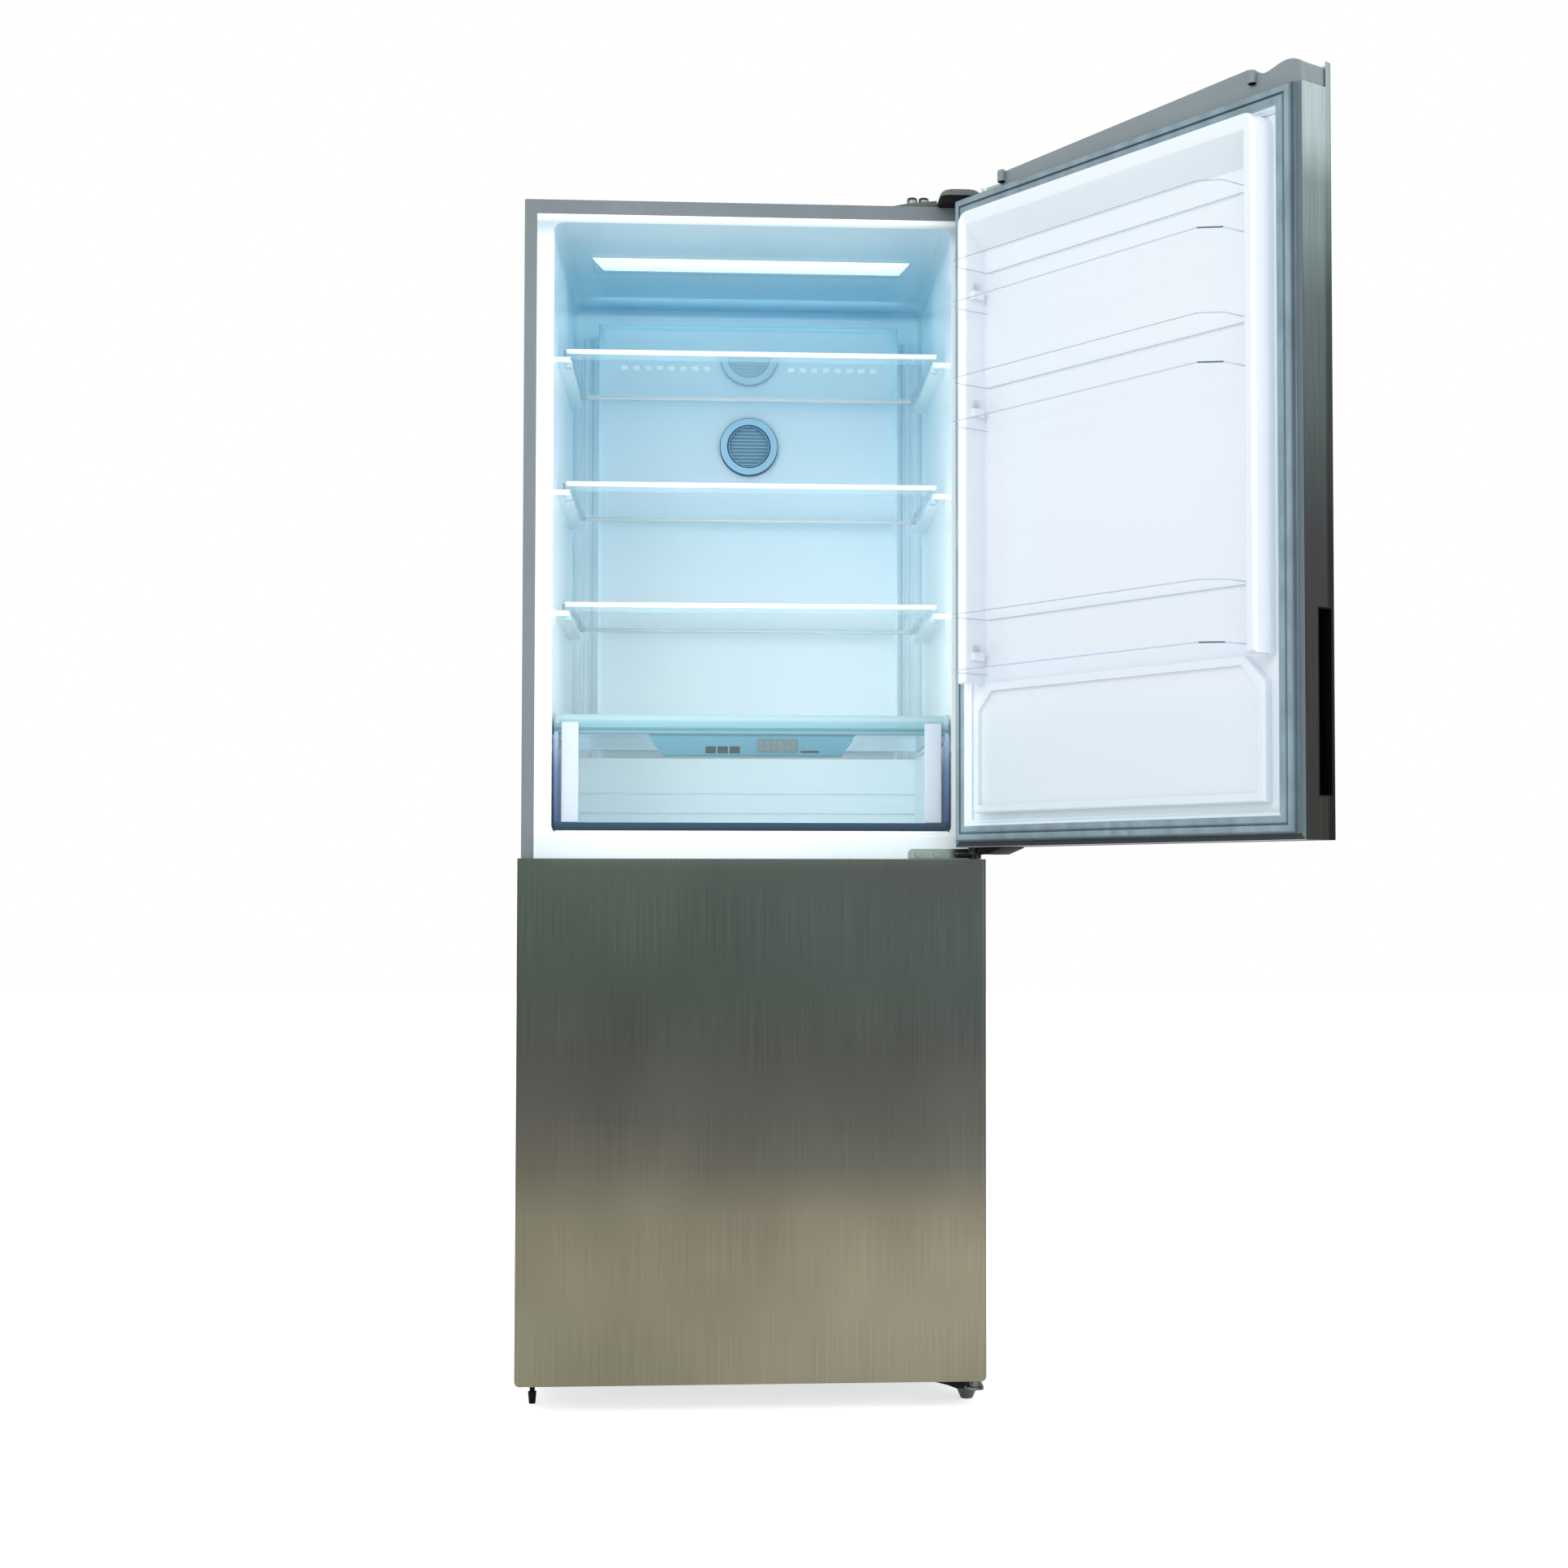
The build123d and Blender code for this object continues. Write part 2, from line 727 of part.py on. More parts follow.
def compressor():
    can = rod(compressor_radius, "Z", (compressor_x, compressor_y), (compressor_low, compressor_high))
    can = fillet(can.edges().filter_by(GeomType.CIRCLE), compressor_dome)
    foot = block((compressor_x - compressor_foot_x, compressor_x + compressor_foot_x),
                 (compressor_y - compressor_foot_y, compressor_y + compressor_foot_y),
                 (compressor_foot_low, compressor_low + compressor_foot))
    return can + foot


def compressor_mounts():
    x = compressor_foot_x - mount_inset
    y = compressor_foot_y - mount_inset
    return Compound(children=[rod(mount_radius, "Z", (compressor_x + i * x, compressor_y + j * y),
                                  (base_top, compressor_foot_low)) for i in (-1, 1) for j in (-1, 1)])


def drip_tray():
    outer = block(tray_x, tray_y, (base_top, base_top + tray_height))
    inner = block((tray_x[0] + tray_wall, tray_x[1] - tray_wall),
                  (tray_y[0] + tray_wall, tray_y[1] - tray_wall),
                  (base_top + tray_wall, base_top + tray_height))
    return outer - inner


def condenser_coil():
    top = condenser_low + (condenser_runs - 1) * condenser_pitch
    lead = (compressor_x - compressor_radius - easy_gap, compressor_y, condenser_low)
    tail = ((condenser_x[1], compressor_y, machine_top),)
    coil = serpentine(condenser_tube, condenser_x, compressor_y, condenser_low, condenser_pitch,
                      condenser_runs, condenser_bend, lead, tail)
    for x in (condenser_x[0] + strap_inset, condenser_x[1] - strap_inset):
        coil = coil + block((x - strap_half, x + strap_half),
                            (compressor_y - strap_thick / 2, compressor_y + strap_thick / 2),
                            (base_top + tray_wall, top))
    return coil


def control_box():
    outer = block(box_x, box_y, (box_low, machine_top))
    inner = block((box_x[0] + box_wall, box_x[1] - box_wall), (box_y[0] + box_wall, box_y[1] - box_wall),
                  (box_low + box_wall, machine_top - box_wall))
    return outer - inner


def power_inlet():
    gland = rod(gland_radius, "Y", (gland_x, gland_z), (rear - gland_in, cabinet_depth))
    gland = gland + rod(gland_flange, "Y", (gland_x, gland_z), (cabinet_depth, cabinet_depth + gland_out))
    return gland - rod(gland_bore, "Y", (gland_x, gland_z), (rear - gland_in, cabinet_depth + gland_out))


# ================= fridge fittings =================

def lamp_lens_piece():
    return block(both_ways(lamp_half - easy_gap), (lamp_front + easy_gap, lamp_back - easy_gap),
                 (fridge_ceiling - lamp_lens, fridge_ceiling + liner_wall))


def lamp_board_piece():
    board_top = fridge_ceiling + lamp_pocket
    middle = (lamp_front + lamp_back) / 2
    board = block(both_ways(lamp_board_half), (middle - lamp_board_depth / 2, middle + lamp_board_depth / 2),
                  (board_top - lamp_board, board_top))
    pitch = 2 * lamp_board_half / led_count
    for number in range(led_count):
        x = -lamp_board_half + (number + 0.5) * pitch
        board = board + block((x - led_size / 2, x + led_size / 2),
                              (middle - led_size / 2, middle + led_size / 2),
                              (board_top - lamp_board - led_height, board_top - lamp_board))
    return board


def air_duct_panel():
    outer = block(both_ways(duct_half), (duct_front, fridge_depth), (duct_low, duct_top))
    face = outer.faces().sort_by(Axis.Y)[0]
    face_edges = face.edges().filter_by(Axis.Z) + face.edges().sort_by(Axis.Z)[-1:]
    outer = fillet(face_edges, duct_corner)
    inner = block(both_ways(duct_half - duct_wall), (duct_front + duct_wall, fridge_depth),
                  (duct_low + duct_wall, duct_top - duct_wall))
    inner_face = inner.faces().sort_by(Axis.Y)[0]
    inner_edges = inner_face.edges().filter_by(Axis.Z) + inner_face.edges().sort_by(Axis.Z)[-1:]
    inner = fillet(inner_edges, duct_corner - duct_wall)
    panel = outer - inner
    pitch = (vent_last - vent_first) / (vent_count - 1)
    for number in range(vent_count):
        x = vent_first + number * pitch
        vent = block((x - vent_width / 2, x + vent_width / 2), (duct_front, duct_front + duct_wall),
                     (vent_level - vent_height / 2, vent_level + vent_height / 2))
        for one in mirrored_pair(vent):
            panel = panel - one
    return panel - rod(disc_spigot, "Y", (0, disc_level), (duct_front, duct_front + duct_wall))


def filter_cover():
    back = duct_front - seat_gap
    place = (0, disc_level)
    ring = rod(disc_radius, "Y", place, (back - disc_depth, back))
    ring = fillet(ring.edges().filter_by(GeomType.CIRCLE).sort_by(Axis.Y)[:1], disc_round)
    ring = ring + rod(disc_spigot - shaft_gap, "Y", place, (back, back + disc_spigot_depth))
    ring = ring - rod(disc_mouth, "Y", place, (back - disc_depth, back + disc_spigot_depth))
    grille_span = (back - grille_set_back - grille_thick, back - grille_set_back)
    grille = rod(disc_mouth + easy_gap, "Y", place, grille_span)
    for number in range(disc_slots):
        offset = (number - (disc_slots - 1) / 2) * disc_slot_pitch
        reach = sqrt(disc_mouth ** 2 - offset ** 2) - disc_slot_pitch / 2
        grille = grille - block((offset - disc_slot / 2, offset + disc_slot / 2), grille_span,
                                (disc_level - reach, disc_level + reach))
    return ring + grille


def shelf_glass_piece(level):
    return block(both_ways(shelf_half - glass_inset), (shelf_front + glass_inset, shelf_back - glass_inset),
                 (level - shelf_glass, level))


def shelf_trim_piece(level):
    low = level - shelf_drop
    frame = block(both_ways(shelf_half), (shelf_front, shelf_back), (low, level + shelf_lip))
    frame = frame - block(both_ways(shelf_half - shelf_frame),
                          (shelf_front + shelf_frame, shelf_back - shelf_frame), (low, level + shelf_lip))
    frame = frame + block(both_ways(shelf_half), (shelf_back - shelf_upstand_thick, shelf_back),
                          (level, level + shelf_upstand))
    above = block(both_ways(shelf_half - glass_inset), (shelf_front + glass_inset, shelf_back - glass_inset),
                  (level - shelf_glass, level + shelf_lip))
    return frame - above


def crisper_cover_glass():
    top = cover_high - cover_glass_drop
    return block(both_ways(cover_half), (cover_front + cover_bar, cover_back - cover_bar),
                 (top, top + cover_glass))


def crisper_cover_frame():
    glass_low = cover_high - cover_glass_drop
    front = block(both_ways(cover_half), (cover_front, cover_front + cover_bar), (cover_low, cover_high))
    back = block(both_ways(cover_half), (cover_back - cover_bar, cover_back), (cover_low, cover_high))
    frame = front + back
    for one in mirrored_pair(block((cover_half - cover_side, cover_half), (cover_front, cover_back),
                                   (cover_low, glass_low))):
        frame = frame + one
    hood_high = cover_low + cover_glass
    hood = prism_y([(-hood_top_half, hood_high), (hood_top_half, hood_high), (hood_low_half, hood_low),
                    (-hood_low_half, hood_low)], (hood_front, hood_front + hood_depth))
    hood = hood - block(slot_across, (hood_front, hood_front + slot_depth),
                        (slot_level - slot_height / 2, slot_level + slot_height / 2))
    for number in range(louvre_count):
        x = louvre_first + number * louvre_pitch
        hood = hood - block((x, x + louvre_width), (hood_front, hood_front + slot_depth),
                            (hood_middle - louvre_height / 2, hood_middle + louvre_height / 2))
    return frame + hood


def humidity_slider():
    face = hood_front - seat_gap - slider_plate
    plate = block(slider_across, (face, hood_front - seat_gap),
                  (hood_middle - slider_height / 2, hood_middle + slider_height / 2))
    left, right = slider_across
    pitch = (right - left) / slider_ribs
    for number in range(1, slider_ribs):
        x = left + number * pitch - slider_groove / 2
        plate = plate - block((x, x + slider_groove), (face, face + slider_groove_depth),
                              (hood_middle - slider_height / 2, hood_middle + slider_height / 2))
    tongue = block(tongue_across, (hood_front - seat_gap, hood_front + slot_depth - seat_gap),
                   (slot_level - slot_height / 2 + seat_gap, slot_level + slot_height / 2 - seat_gap))
    return tongue + plate


def crisper_drawer():
    panel = block(both_ways(crisper_half), (crisper_front, crisper_panel_back), (crisper_low, crisper_high))
    panel = fillet(panel.faces().sort_by(Axis.Z)[0].edges().filter_by(Axis.Y), crisper_corner)
    hollow = block(both_ways(crisper_half - drawer_wall), (crisper_front + crisper_panel, crisper_panel_back),
                   (crisper_low + crisper_edge, crisper_high))
    panel = panel - hollow
    tub = block(both_ways(tub_half), (crisper_front + crisper_panel, tub_back), (tub_low, tub_high))
    space = block(both_ways(tub_half - tub_wall), (crisper_front + crisper_panel, tub_back - tub_wall),
                  (tub_low + tub_wall, tub_high))
    whole = panel + tub
    return whole - space


# ================= freezer fittings =================

def freezer_drawer(low, high, back):
    """A tub without a front wall, and the front panel that closes it, as two solids."""
    front = drawer_front + drawer_panel
    tub = block(both_ways(drawer_half), (front, back), (low, high))
    tub = tub + block(both_ways(drawer_rim_half), (front, back), (high - drawer_rim, high))
    tub = tub - block(both_ways(drawer_half - drawer_wall), (front, back - drawer_wall),
                      (low + drawer_wall, high))
    panel = block(both_ways(drawer_rim_half), (drawer_front, front), (low, high))
    panel = panel + block(both_ways(drawer_half), (drawer_front - drawer_pull, drawer_front),
                          (high - drawer_pull_height, high))
    return Compound(children=[tub.solids()[0], panel.solids()[0]])


def evaporator_cover():
    plate = block(both_ways(freezer_half - easy_gap), (screen_front, screen_front + screen_thick),
                  (step_height + easy_gap, freezer_ceiling - easy_gap))
    plate = fillet(plate.edges().filter_by(Axis.Y), freezer_corner)
    back = screen_front + screen_thick
    plate = plate - rod(fan_mouth, "Y", (0, fan_level), (screen_front, back))
    for number in range(spoke_count):
        spoke = block((0, fan_mouth + spoke_width), (screen_front, back), both_ways(spoke_width / 2))
        plate = plate + Pos(0, 0, fan_level) * Rot(0, number * 360 / spoke_count, 0) * spoke
    plate = plate + rod(fan_hub, "Y", (0, fan_level), (screen_front, back))
    plate = plate + rod(fan_pin, "Y", (0, fan_level), (back, fan_front + fan_depth))
    first = -(return_slots - 1) / 2 * return_slot_pitch
    for number in range(return_slots):
        x = first + number * return_slot_pitch
        plate = plate - block((x - return_slot_width / 2, x + return_slot_width / 2), (screen_front, back),
                              (return_slot_level, return_slot_level + return_slot_height))
    return plate


def evaporator_fan():
    hub = rod(fan_hub, "Y", (0, fan_level), (fan_front, fan_front + fan_depth))
    middle = fan_front + fan_depth / 2
    for number in range(fan_blades):
        plate = Box(fan_radius - fan_hub + blade_root, blade_thick, blade_chord)
        blade = Pos((fan_hub + fan_radius - blade_root) / 2, 0, 0) * Rot(fan_pitch, 0, 0) * plate
        hub = hub + Pos(0, middle, fan_level) * Rot(0, number * 360 / fan_blades, 0) * blade
    return hub - rod(fan_pin + shaft_gap, "Y", (0, fan_level), (fan_front, fan_front + fan_depth))


def evaporator():
    middle = (fin_front + fin_back) / 2
    runs = int((fin_high - fin_low) / coil_pitch)
    low = (fin_high + fin_low) / 2 - (runs - 1) / 2 * coil_pitch
    span = both_ways(fin_half + coil_overhang)
    coil = serpentine(coil_tube, span, middle, low, coil_pitch, runs, coil_bend)
    pitch = 2 * fin_half / (fin_count - 1)
    for number in range(fin_count):
        x = -fin_half + number * pitch
        depth = freezer_depth if number in (0, fin_count - 1) else fin_back
        coil = coil + block((x - fin_thick / 2, x + fin_thick / 2), (fin_front, depth), (fin_low, fin_high))
    return coil


# ================= hinges =================

def top_hinge():
    plate = block((half - leaf - top_leaf_width, half - leaf),
                  (top_leaf_back, top_leaf_back + top_leaf_depth),
                  (cabinet_height, cabinet_height + leaf))
    arm = block((hinge_x - arm_half, hinge_x + arm_half), (hinge_y, top_leaf_back + leaf),
                (cabinet_height, cabinet_height + leaf))
    eye = rod(arm_half, "Z", (hinge_x, hinge_y), (cabinet_height, cabinet_height + leaf))
    pin = rod(pin_radius, "Z", (hinge_x, hinge_y), (cabinet_height - top_pin_length, cabinet_height))
    return joined([plate, arm, eye, pin]) - joined(screw_holes(top_screw_places(), "Z"))


def top_screw_places():
    left = half - leaf - top_leaf_width + top_screw_inset
    back = top_leaf_back + top_leaf_depth - top_screw_inset
    front = top_leaf_back + top_screw_inset
    return [(left, front, cabinet_height), (left + top_screw_pitch, front, cabinet_height),
            (left, back, cabinet_height)]


def middle_screw_places():
    left = half - middle_leaf_width + middle_screw_inset
    height = middle_leaf_low + middle_leaf_height / 2
    return [(left, -middle_leaf_thick, height), (left + middle_screw_pitch, -middle_leaf_thick, height)]


def screw_holes(places, axis):
    holes = []
    for x, y, z in places:
        if axis == "Z":
            holes.append(rod(screw_shank, "Z", (x, y), (z, z + leaf)))
        else:
            holes.append(rod(screw_shank, "Y", (x, z), (y, y + middle_leaf_thick)))
    return holes


def hinge_screws():
    screws = []
    for x, y, z in top_screw_places():
        screw = rod(screw_shank, "Z", (x, y), (z, z + leaf))
        screws.append(screw + rod(bolt_head_radius, "Z", (x, y), (z + leaf, z + leaf + bolt_head)))
    for x, y, z in middle_screw_places():
        screw = rod(screw_shank, "Y", (x, z), (y, y + middle_leaf_thick))
        screws.append(screw + rod(screw_head_radius, "Y", (x, z), (y - screw_head, y)))
    return Compound(children=screws)


def middle_hinge():
    top = middle_leaf_low + middle_leaf_height
    upright = block((half - middle_leaf_width, half), (-middle_leaf_thick, 0), (middle_leaf_low, top))
    end = upright.edges().filter_by(Axis.Y).sort_by(Axis.X)[:2].sort_by(Axis.Z)[-1:]
    upright = fillet(end, middle_leaf_height / 2)
    plate_z = (middle_plate_low, middle_plate_low + leaf)
    plate = block((hinge_x - hinge_arm_reach, hinge_x + hinge_eye), (hinge_y, 0), plate_z)
    eye = rod(hinge_eye, "Z", (hinge_x, hinge_y), plate_z)
    wedge = prism_z([(hinge_x - hinge_arm_reach, hinge_y), (hinge_x - hinge_arm_reach, hinge_y + hinge_eye),
                     (hinge_x, hinge_y + hinge_eye), (hinge_x, hinge_y)], plate_z)
    pins = rod(pin_radius, "Z", (hinge_x, hinge_y),
               (middle_plate_low - middle_pin_down, middle_plate_low + leaf + middle_pin_up))
    thrust = rod(thrust_radius, "Z", (hinge_x, hinge_y),
                 (middle_plate_low + leaf, fridge_door_low - seat_gap))
    whole = joined([upright, plate, eye, wedge, pins, thrust])
    return whole - joined(screw_holes(middle_screw_places(), "Y"))


def bottom_hinge():
    plate_z = (floor_gap - leaf, floor_gap)
    plate = block((half - bottom_leaf_width, half), (0, bottom_leaf_depth), plate_z)
    arm = block((hinge_x - hinge_arm_reach, hinge_x + hinge_eye), (hinge_y, 0), plate_z)
    eye = rod(hinge_eye, "Z", (hinge_x, hinge_y), plate_z)
    pin = rod(pin_radius, "Z", (hinge_x, hinge_y), (floor_gap, floor_gap + bottom_pin_up))
    thrust = rod(thrust_radius, "Z", (hinge_x, hinge_y), (floor_gap, freezer_door_low - seat_gap))
    stem = rod(foot_stem + shaft_gap, "Z", (foot_x, foot_y), plate_z)
    return joined([plate, arm, eye, pin, thrust]) - stem


def top_hinge_cover():
    right = half - hinge_cover_inset
    left = right - hinge_cover_width
    low, high = cabinet_height, cabinet_height + hinge_cover_height
    front, back = hinge_cover_front, hinge_cover_front + hinge_cover_depth
    nose_front = hinge_y - hinge_nose
    wall = hinge_cover_wall
    body = block((left, right), (nose_front, back), (low, high))
    uprights = body.edges().filter_by(Axis.Z).sort_by(Axis.Y)
    body = fillet(uprights[:2], hinge_nose_round)
    body = fillet(body.faces().sort_by(Axis.Z)[-1].edges(), hinge_cover_round)
    inner = block((left + wall, right - wall), (front + wall, back - wall), (low, high - wall))
    over_arm = block((left, right), (nose_front, front), (low, low + leaf))
    arm = block((hinge_x - arm_half - easy_gap, hinge_x + arm_half + easy_gap), (front, top_leaf_back),
                (low, low + leaf))
    leaf_way = block((left, right),
                     (top_leaf_back - easy_gap, top_leaf_back + top_leaf_depth + easy_gap), (low, low + leaf))
    return body - inner - over_arm - arm - leaf_way


# ================= doors =================

def door_block(inset, low, high):
    """The door's outer block, drawn in by inset at its face and sides."""
    body = block(both_ways(half - inset), (door_face + inset, door_back), (low, high))
    front_edges = body.edges().filter_by(Axis.Z).sort_by(Axis.Y)[:2]
    return fillet(front_edges, door_edge_radius - inset)


def grip_block(low, wall):
    front = door_face + grip_lip
    return block((-half, -half + grip_depth - wall), (front + wall, front + grip_width - wall),
                 (low + wall, low + grip_length - wall))


def grip_piece(low):
    return grip_block(low, 0) - grip_block(low, grip_wall)


def door_skin_piece(low, high, grip_low):
    body = door_block(0, low, high) - door_block(door_skin, low, high)
    return body - grip_block(grip_low, 0)


def fridge_door_skin():
    skin = door_skin_piece(fridge_door_low, fridge_door_high, fridge_grip_low)
    above = (fridge_cap_low, fridge_door_high)
    skin = skin - block((-half, -door_inside), (door_face + cap_front_strip, door_back), above)
    return skin - block((door_inside, half), (door_face + door_edge_radius, door_back), above)


def seal(low, high):
    rings = []
    levels = ((door_back, door_back + seal_base, 0),
              (door_back + seal_base, door_back + seal_base + seal_neck, seal_neck_inset),
              (door_back + seal_base + seal_neck, -seat_gap, seal_head_inset))
    for front, back, inset in levels:
        edge = seal_inset + inset
        rim = seal_width - 2 * inset
        outer = block(both_ways(half - edge), (front, back), (low + inset, high - inset))
        inner = block(both_ways(half - edge - rim), (front, back), (low + inset + rim, high - inset - rim))
        rings.append(outer - inner)
    return joined(rings)


def dykes(inset):
    """Raised rim of the fridge door's liner; inset gives its foam core."""
    outer_x = dyke_outer - inset
    inner_x = dyke_outer - dyke_width + inset
    base = door_back - (liner_wall if inset else 0)
    depth = (base, door_back + dyke_height - inset)
    outer = block(both_ways(outer_x), depth, (dyke_low + inset, dyke_top - inset))
    outer = fillet(outer.edges().filter_by(Axis.Y).sort_by(Axis.Z)[2:], dyke_width - inset)
    low, high = dyke_low + inset, dyke_top - dyke_band + inset
    cove_low = dyke_top - dyke_band - cove_drop + inset
    inner = prism_x([(base, low), (depth[1], low), (depth[1], high), (base, cove_low)], both_ways(inner_x))
    frame = outer - inner
    return fillet(frame.faces().sort_by(Axis.Y)[-1].edges(), dyke_fillet - inset)


def panel_outline(shrink):
    x, low, high = panel_half - shrink, panel_low + shrink, dyke_low - shrink
    cut = panel_corner - shrink * (2 - sqrt(2))
    return [(-x, low), (x, low), (x, high - cut), (x - cut, high), (-x + cut, high), (-x, high - cut)]


def lower_panel(inset):
    """Raised panel of the fridge door's liner in front of the crisper; inset gives its foam core."""
    base = door_back - (liner_wall if inset else 0)
    face = door_back + panel_height - inset
    body = prism_y(panel_outline(inset), (base, face))
    body = fillet(body.faces().sort_by(Axis.Y)[-1].edges(), panel_fillet - inset)
    recess = prism_y(panel_outline(panel_rim - inset), (face - panel_recess, face))
    return body - recess


def bin_lugs():
    lugs = []
    for low, high in bin_levels:
        lug = block((bin_half + hook_side_gap, dyke_outer - dyke_width + dyke_fillet),
                    (door_back + hook_back, door_back + hook_back + hook_depth),
                    (low + hook_drop, low + hook_drop + hook_height))
        lugs += mirrored_pair(lug)
    return lugs


def fridge_door_liner():
    plate = block(both_ways(door_inside), (door_back - liner_wall, door_back),
                  (fridge_door_low, fridge_cap_low))
    shell = plate + dykes(0) + lower_panel(0)
    for lug in bin_lugs():
        shell = shell + lug
    return shell - dykes(liner_wall) - lower_panel(liner_wall)


def fridge_door_foam():
    low, high = fridge_door_low + cap_height, cap_top_low
    body = door_block(door_skin, low, high)
    body = body - block(both_ways(half), (door_back - liner_wall, door_back), (low, high))
    return body - grip_block(fridge_grip_low, 0) + dykes(liner_wall) + lower_panel(liner_wall)


def fridge_door_top_cap():
    body = door_block(door_skin, cap_top_low, fridge_cap_low)
    body = body - block(both_ways(half), (door_back - liner_wall, door_back), (cap_top_low, fridge_cap_low))
    upper = door_block(door_skin, fridge_cap_low, cap_wall_peak)
    start = hinge_x - cap_low_end
    inner_face = (door_back - cap_wall, door_back)
    block_x = -door_inside + cap_end_block
    side_top = fridge_door_high - cap_side_drop
    rest_end = [(door_inside, fridge_cap_low), (door_inside, cap_rest), (start, cap_rest)]
    outer_end = [(-door_inside, side_top), (-door_inside, fridge_cap_low)]
    crest = [(start, cap_wall_start), (cap_peak_at, cap_wall_peak), (cap_dip_at, cap_dip),
             (block_x, fridge_door_high - cap_end_drop)]
    plateau = [(start, cap_flat), (block_x, cap_flat), (block_x, side_top)]
    wall = prism_y(rest_end + crest + outer_end, inner_face)
    flat = prism_y(rest_end + plateau + outer_end, (door_face, inner_face[0]))
    cap = body + ((wall + flat) & upper)
    cap = cap + block((-half, -door_inside), (door_face + cap_front_strip, door_back),
                      (fridge_cap_low, side_top))
    for x, low in ((start, cap_rest + nub_lift), (cap_peak_at - nub_size / 2, cap_flat)):
        cap = cap + block((x - nub_size, x), (door_back, door_back + nub_reach), (low, low + nub_height))
    pin = rod(pin_radius + shaft_gap, "Z", (hinge_x, hinge_y),
              (cabinet_height - top_pin_length - seat_gap, fridge_door_high))
    return cap - pin


def end_cap(low, high, pin_low, pin_high):
    body = door_block(door_skin, low, high)
    body = body - block(both_ways(half), (door_back - liner_wall, door_back), (low, high))
    return body - rod(pin_radius + shaft_gap, "Z", (hinge_x, hinge_y), (pin_low, pin_high))


def fridge_door_bottom_cap():
    pin_top = middle_plate_low + leaf + middle_pin_up
    return end_cap(fridge_door_low, fridge_door_low + cap_height, fridge_door_low, pin_top + seat_gap)


def lower_corners():
    """What the rounded lower corners take off the freezer door."""
    x, z = half - door_foot_round, freezer_door_low + door_foot_round
    waste = block((x, half), (door_face, door_back), (freezer_door_low, z))
    waste = waste - rod(door_foot_round, "Y", (x, z), (door_face, door_back))
    return joined(mirrored_pair(waste))


def freezer_door_caps():
    low = end_cap(freezer_door_low, freezer_door_low + cap_height, freezer_door_low,
                  floor_gap + bottom_pin_up + seat_gap)
    high = end_cap(freezer_door_high - cap_height, freezer_door_high,
                   middle_plate_low - middle_pin_down - seat_gap, freezer_door_high)
    return Compound(children=[(low - lower_corners()).solids()[0], high.solids()[0]])


def freezer_dyke(inset):
    base = door_back - (liner_wall if inset else 0)
    depth = (base, door_back + freezer_dyke_height - inset)
    outer = block(both_ways(freezer_dyke_half - inset), depth,
                  (freezer_dyke_low + inset, freezer_dyke_high - inset))
    rim = freezer_dyke_width - 2 * inset
    inner = block(both_ways(freezer_dyke_half - inset - rim), depth,
                  (freezer_dyke_low + inset + rim, freezer_dyke_high - inset - rim))
    return outer - inner


def freezer_door_liner():
    plate = block(both_ways(door_inside), (door_back - liner_wall, door_back),
                  (freezer_door_low, freezer_door_high))
    return plate + freezer_dyke(0) - freezer_dyke(liner_wall) - lower_corners()


def freezer_door_foam():
    low, high = freezer_door_low + cap_height, freezer_door_high - cap_height
    body = door_block(door_skin, low, high)
    body = body - block(both_ways(half), (door_back - liner_wall, door_back), (low, high))
    return body - grip_block(freezer_grip_low, 0) + freezer_dyke(liner_wall)


def bin_outline(inset):
    x = bin_half - inset
    back = door_back + bin_back_gap + inset
    front = door_back + bin_reach - inset
    cut = bin_corner - inset * (2 - sqrt(2))
    bevels = [(x, front - cut), (x - cut, front), (-x + cut, front), (-x, front - cut)]
    return [(-x, back), (x, back)] + bevels


def door_bin(low, high):
    body = prism_z(bin_outline(0), (low, high)) - prism_z(bin_outline(bin_wall), (low + bin_wall, high))
    hook_low = low + hook_drop + hook_height + seat_gap
    hook = block((bin_half - bin_wall, bin_half + hook_over),
                 (door_back + hook_back, door_back + hook_back + hook_depth),
                 (hook_low, hook_low + hook_height))
    for one in mirrored_pair(hook):
        body = body + one
    return body


def opened(shape):
    """Turns a piece of the fridge door from shut to the angle it stands at."""
    return Pos(hinge_x, hinge_y, 0) * Rot(0, 0, door_open_angle) * Pos(-hinge_x, -hinge_y, 0) * shape


# ================= feet and rollers =================

def foot(side, radii):
    cone = Pos(side * foot_x, foot_y, foot_cone / 2) * Cone(*radii, foot_cone)
    cone = fillet(cone.edges().filter_by(GeomType.CIRCLE).sort_by(Axis.Z)[:1], foot_toe)
    return cone + rod(foot_stem, "Z", (side * foot_x, foot_y), (foot_cone, foot_stem_top))


def roller(side):
    span = (side * roller_x - roller_width / 2, side * roller_x + roller_width / 2)
    place = (roller_y, roller_radius)
    return rod(roller_radius, "X", place, span) - rod(axle_radius + shaft_gap, "X", place, span)


def roller_axles():
    reach = roller_width / 2 + fork_gap + fork_wall
    return Compound(children=[rod(axle_radius, "X", (roller_y, roller_radius),
                                  (side * roller_x - reach, side * roller_x + reach)) for side in (-1, 1)])


# ================= the whole =================

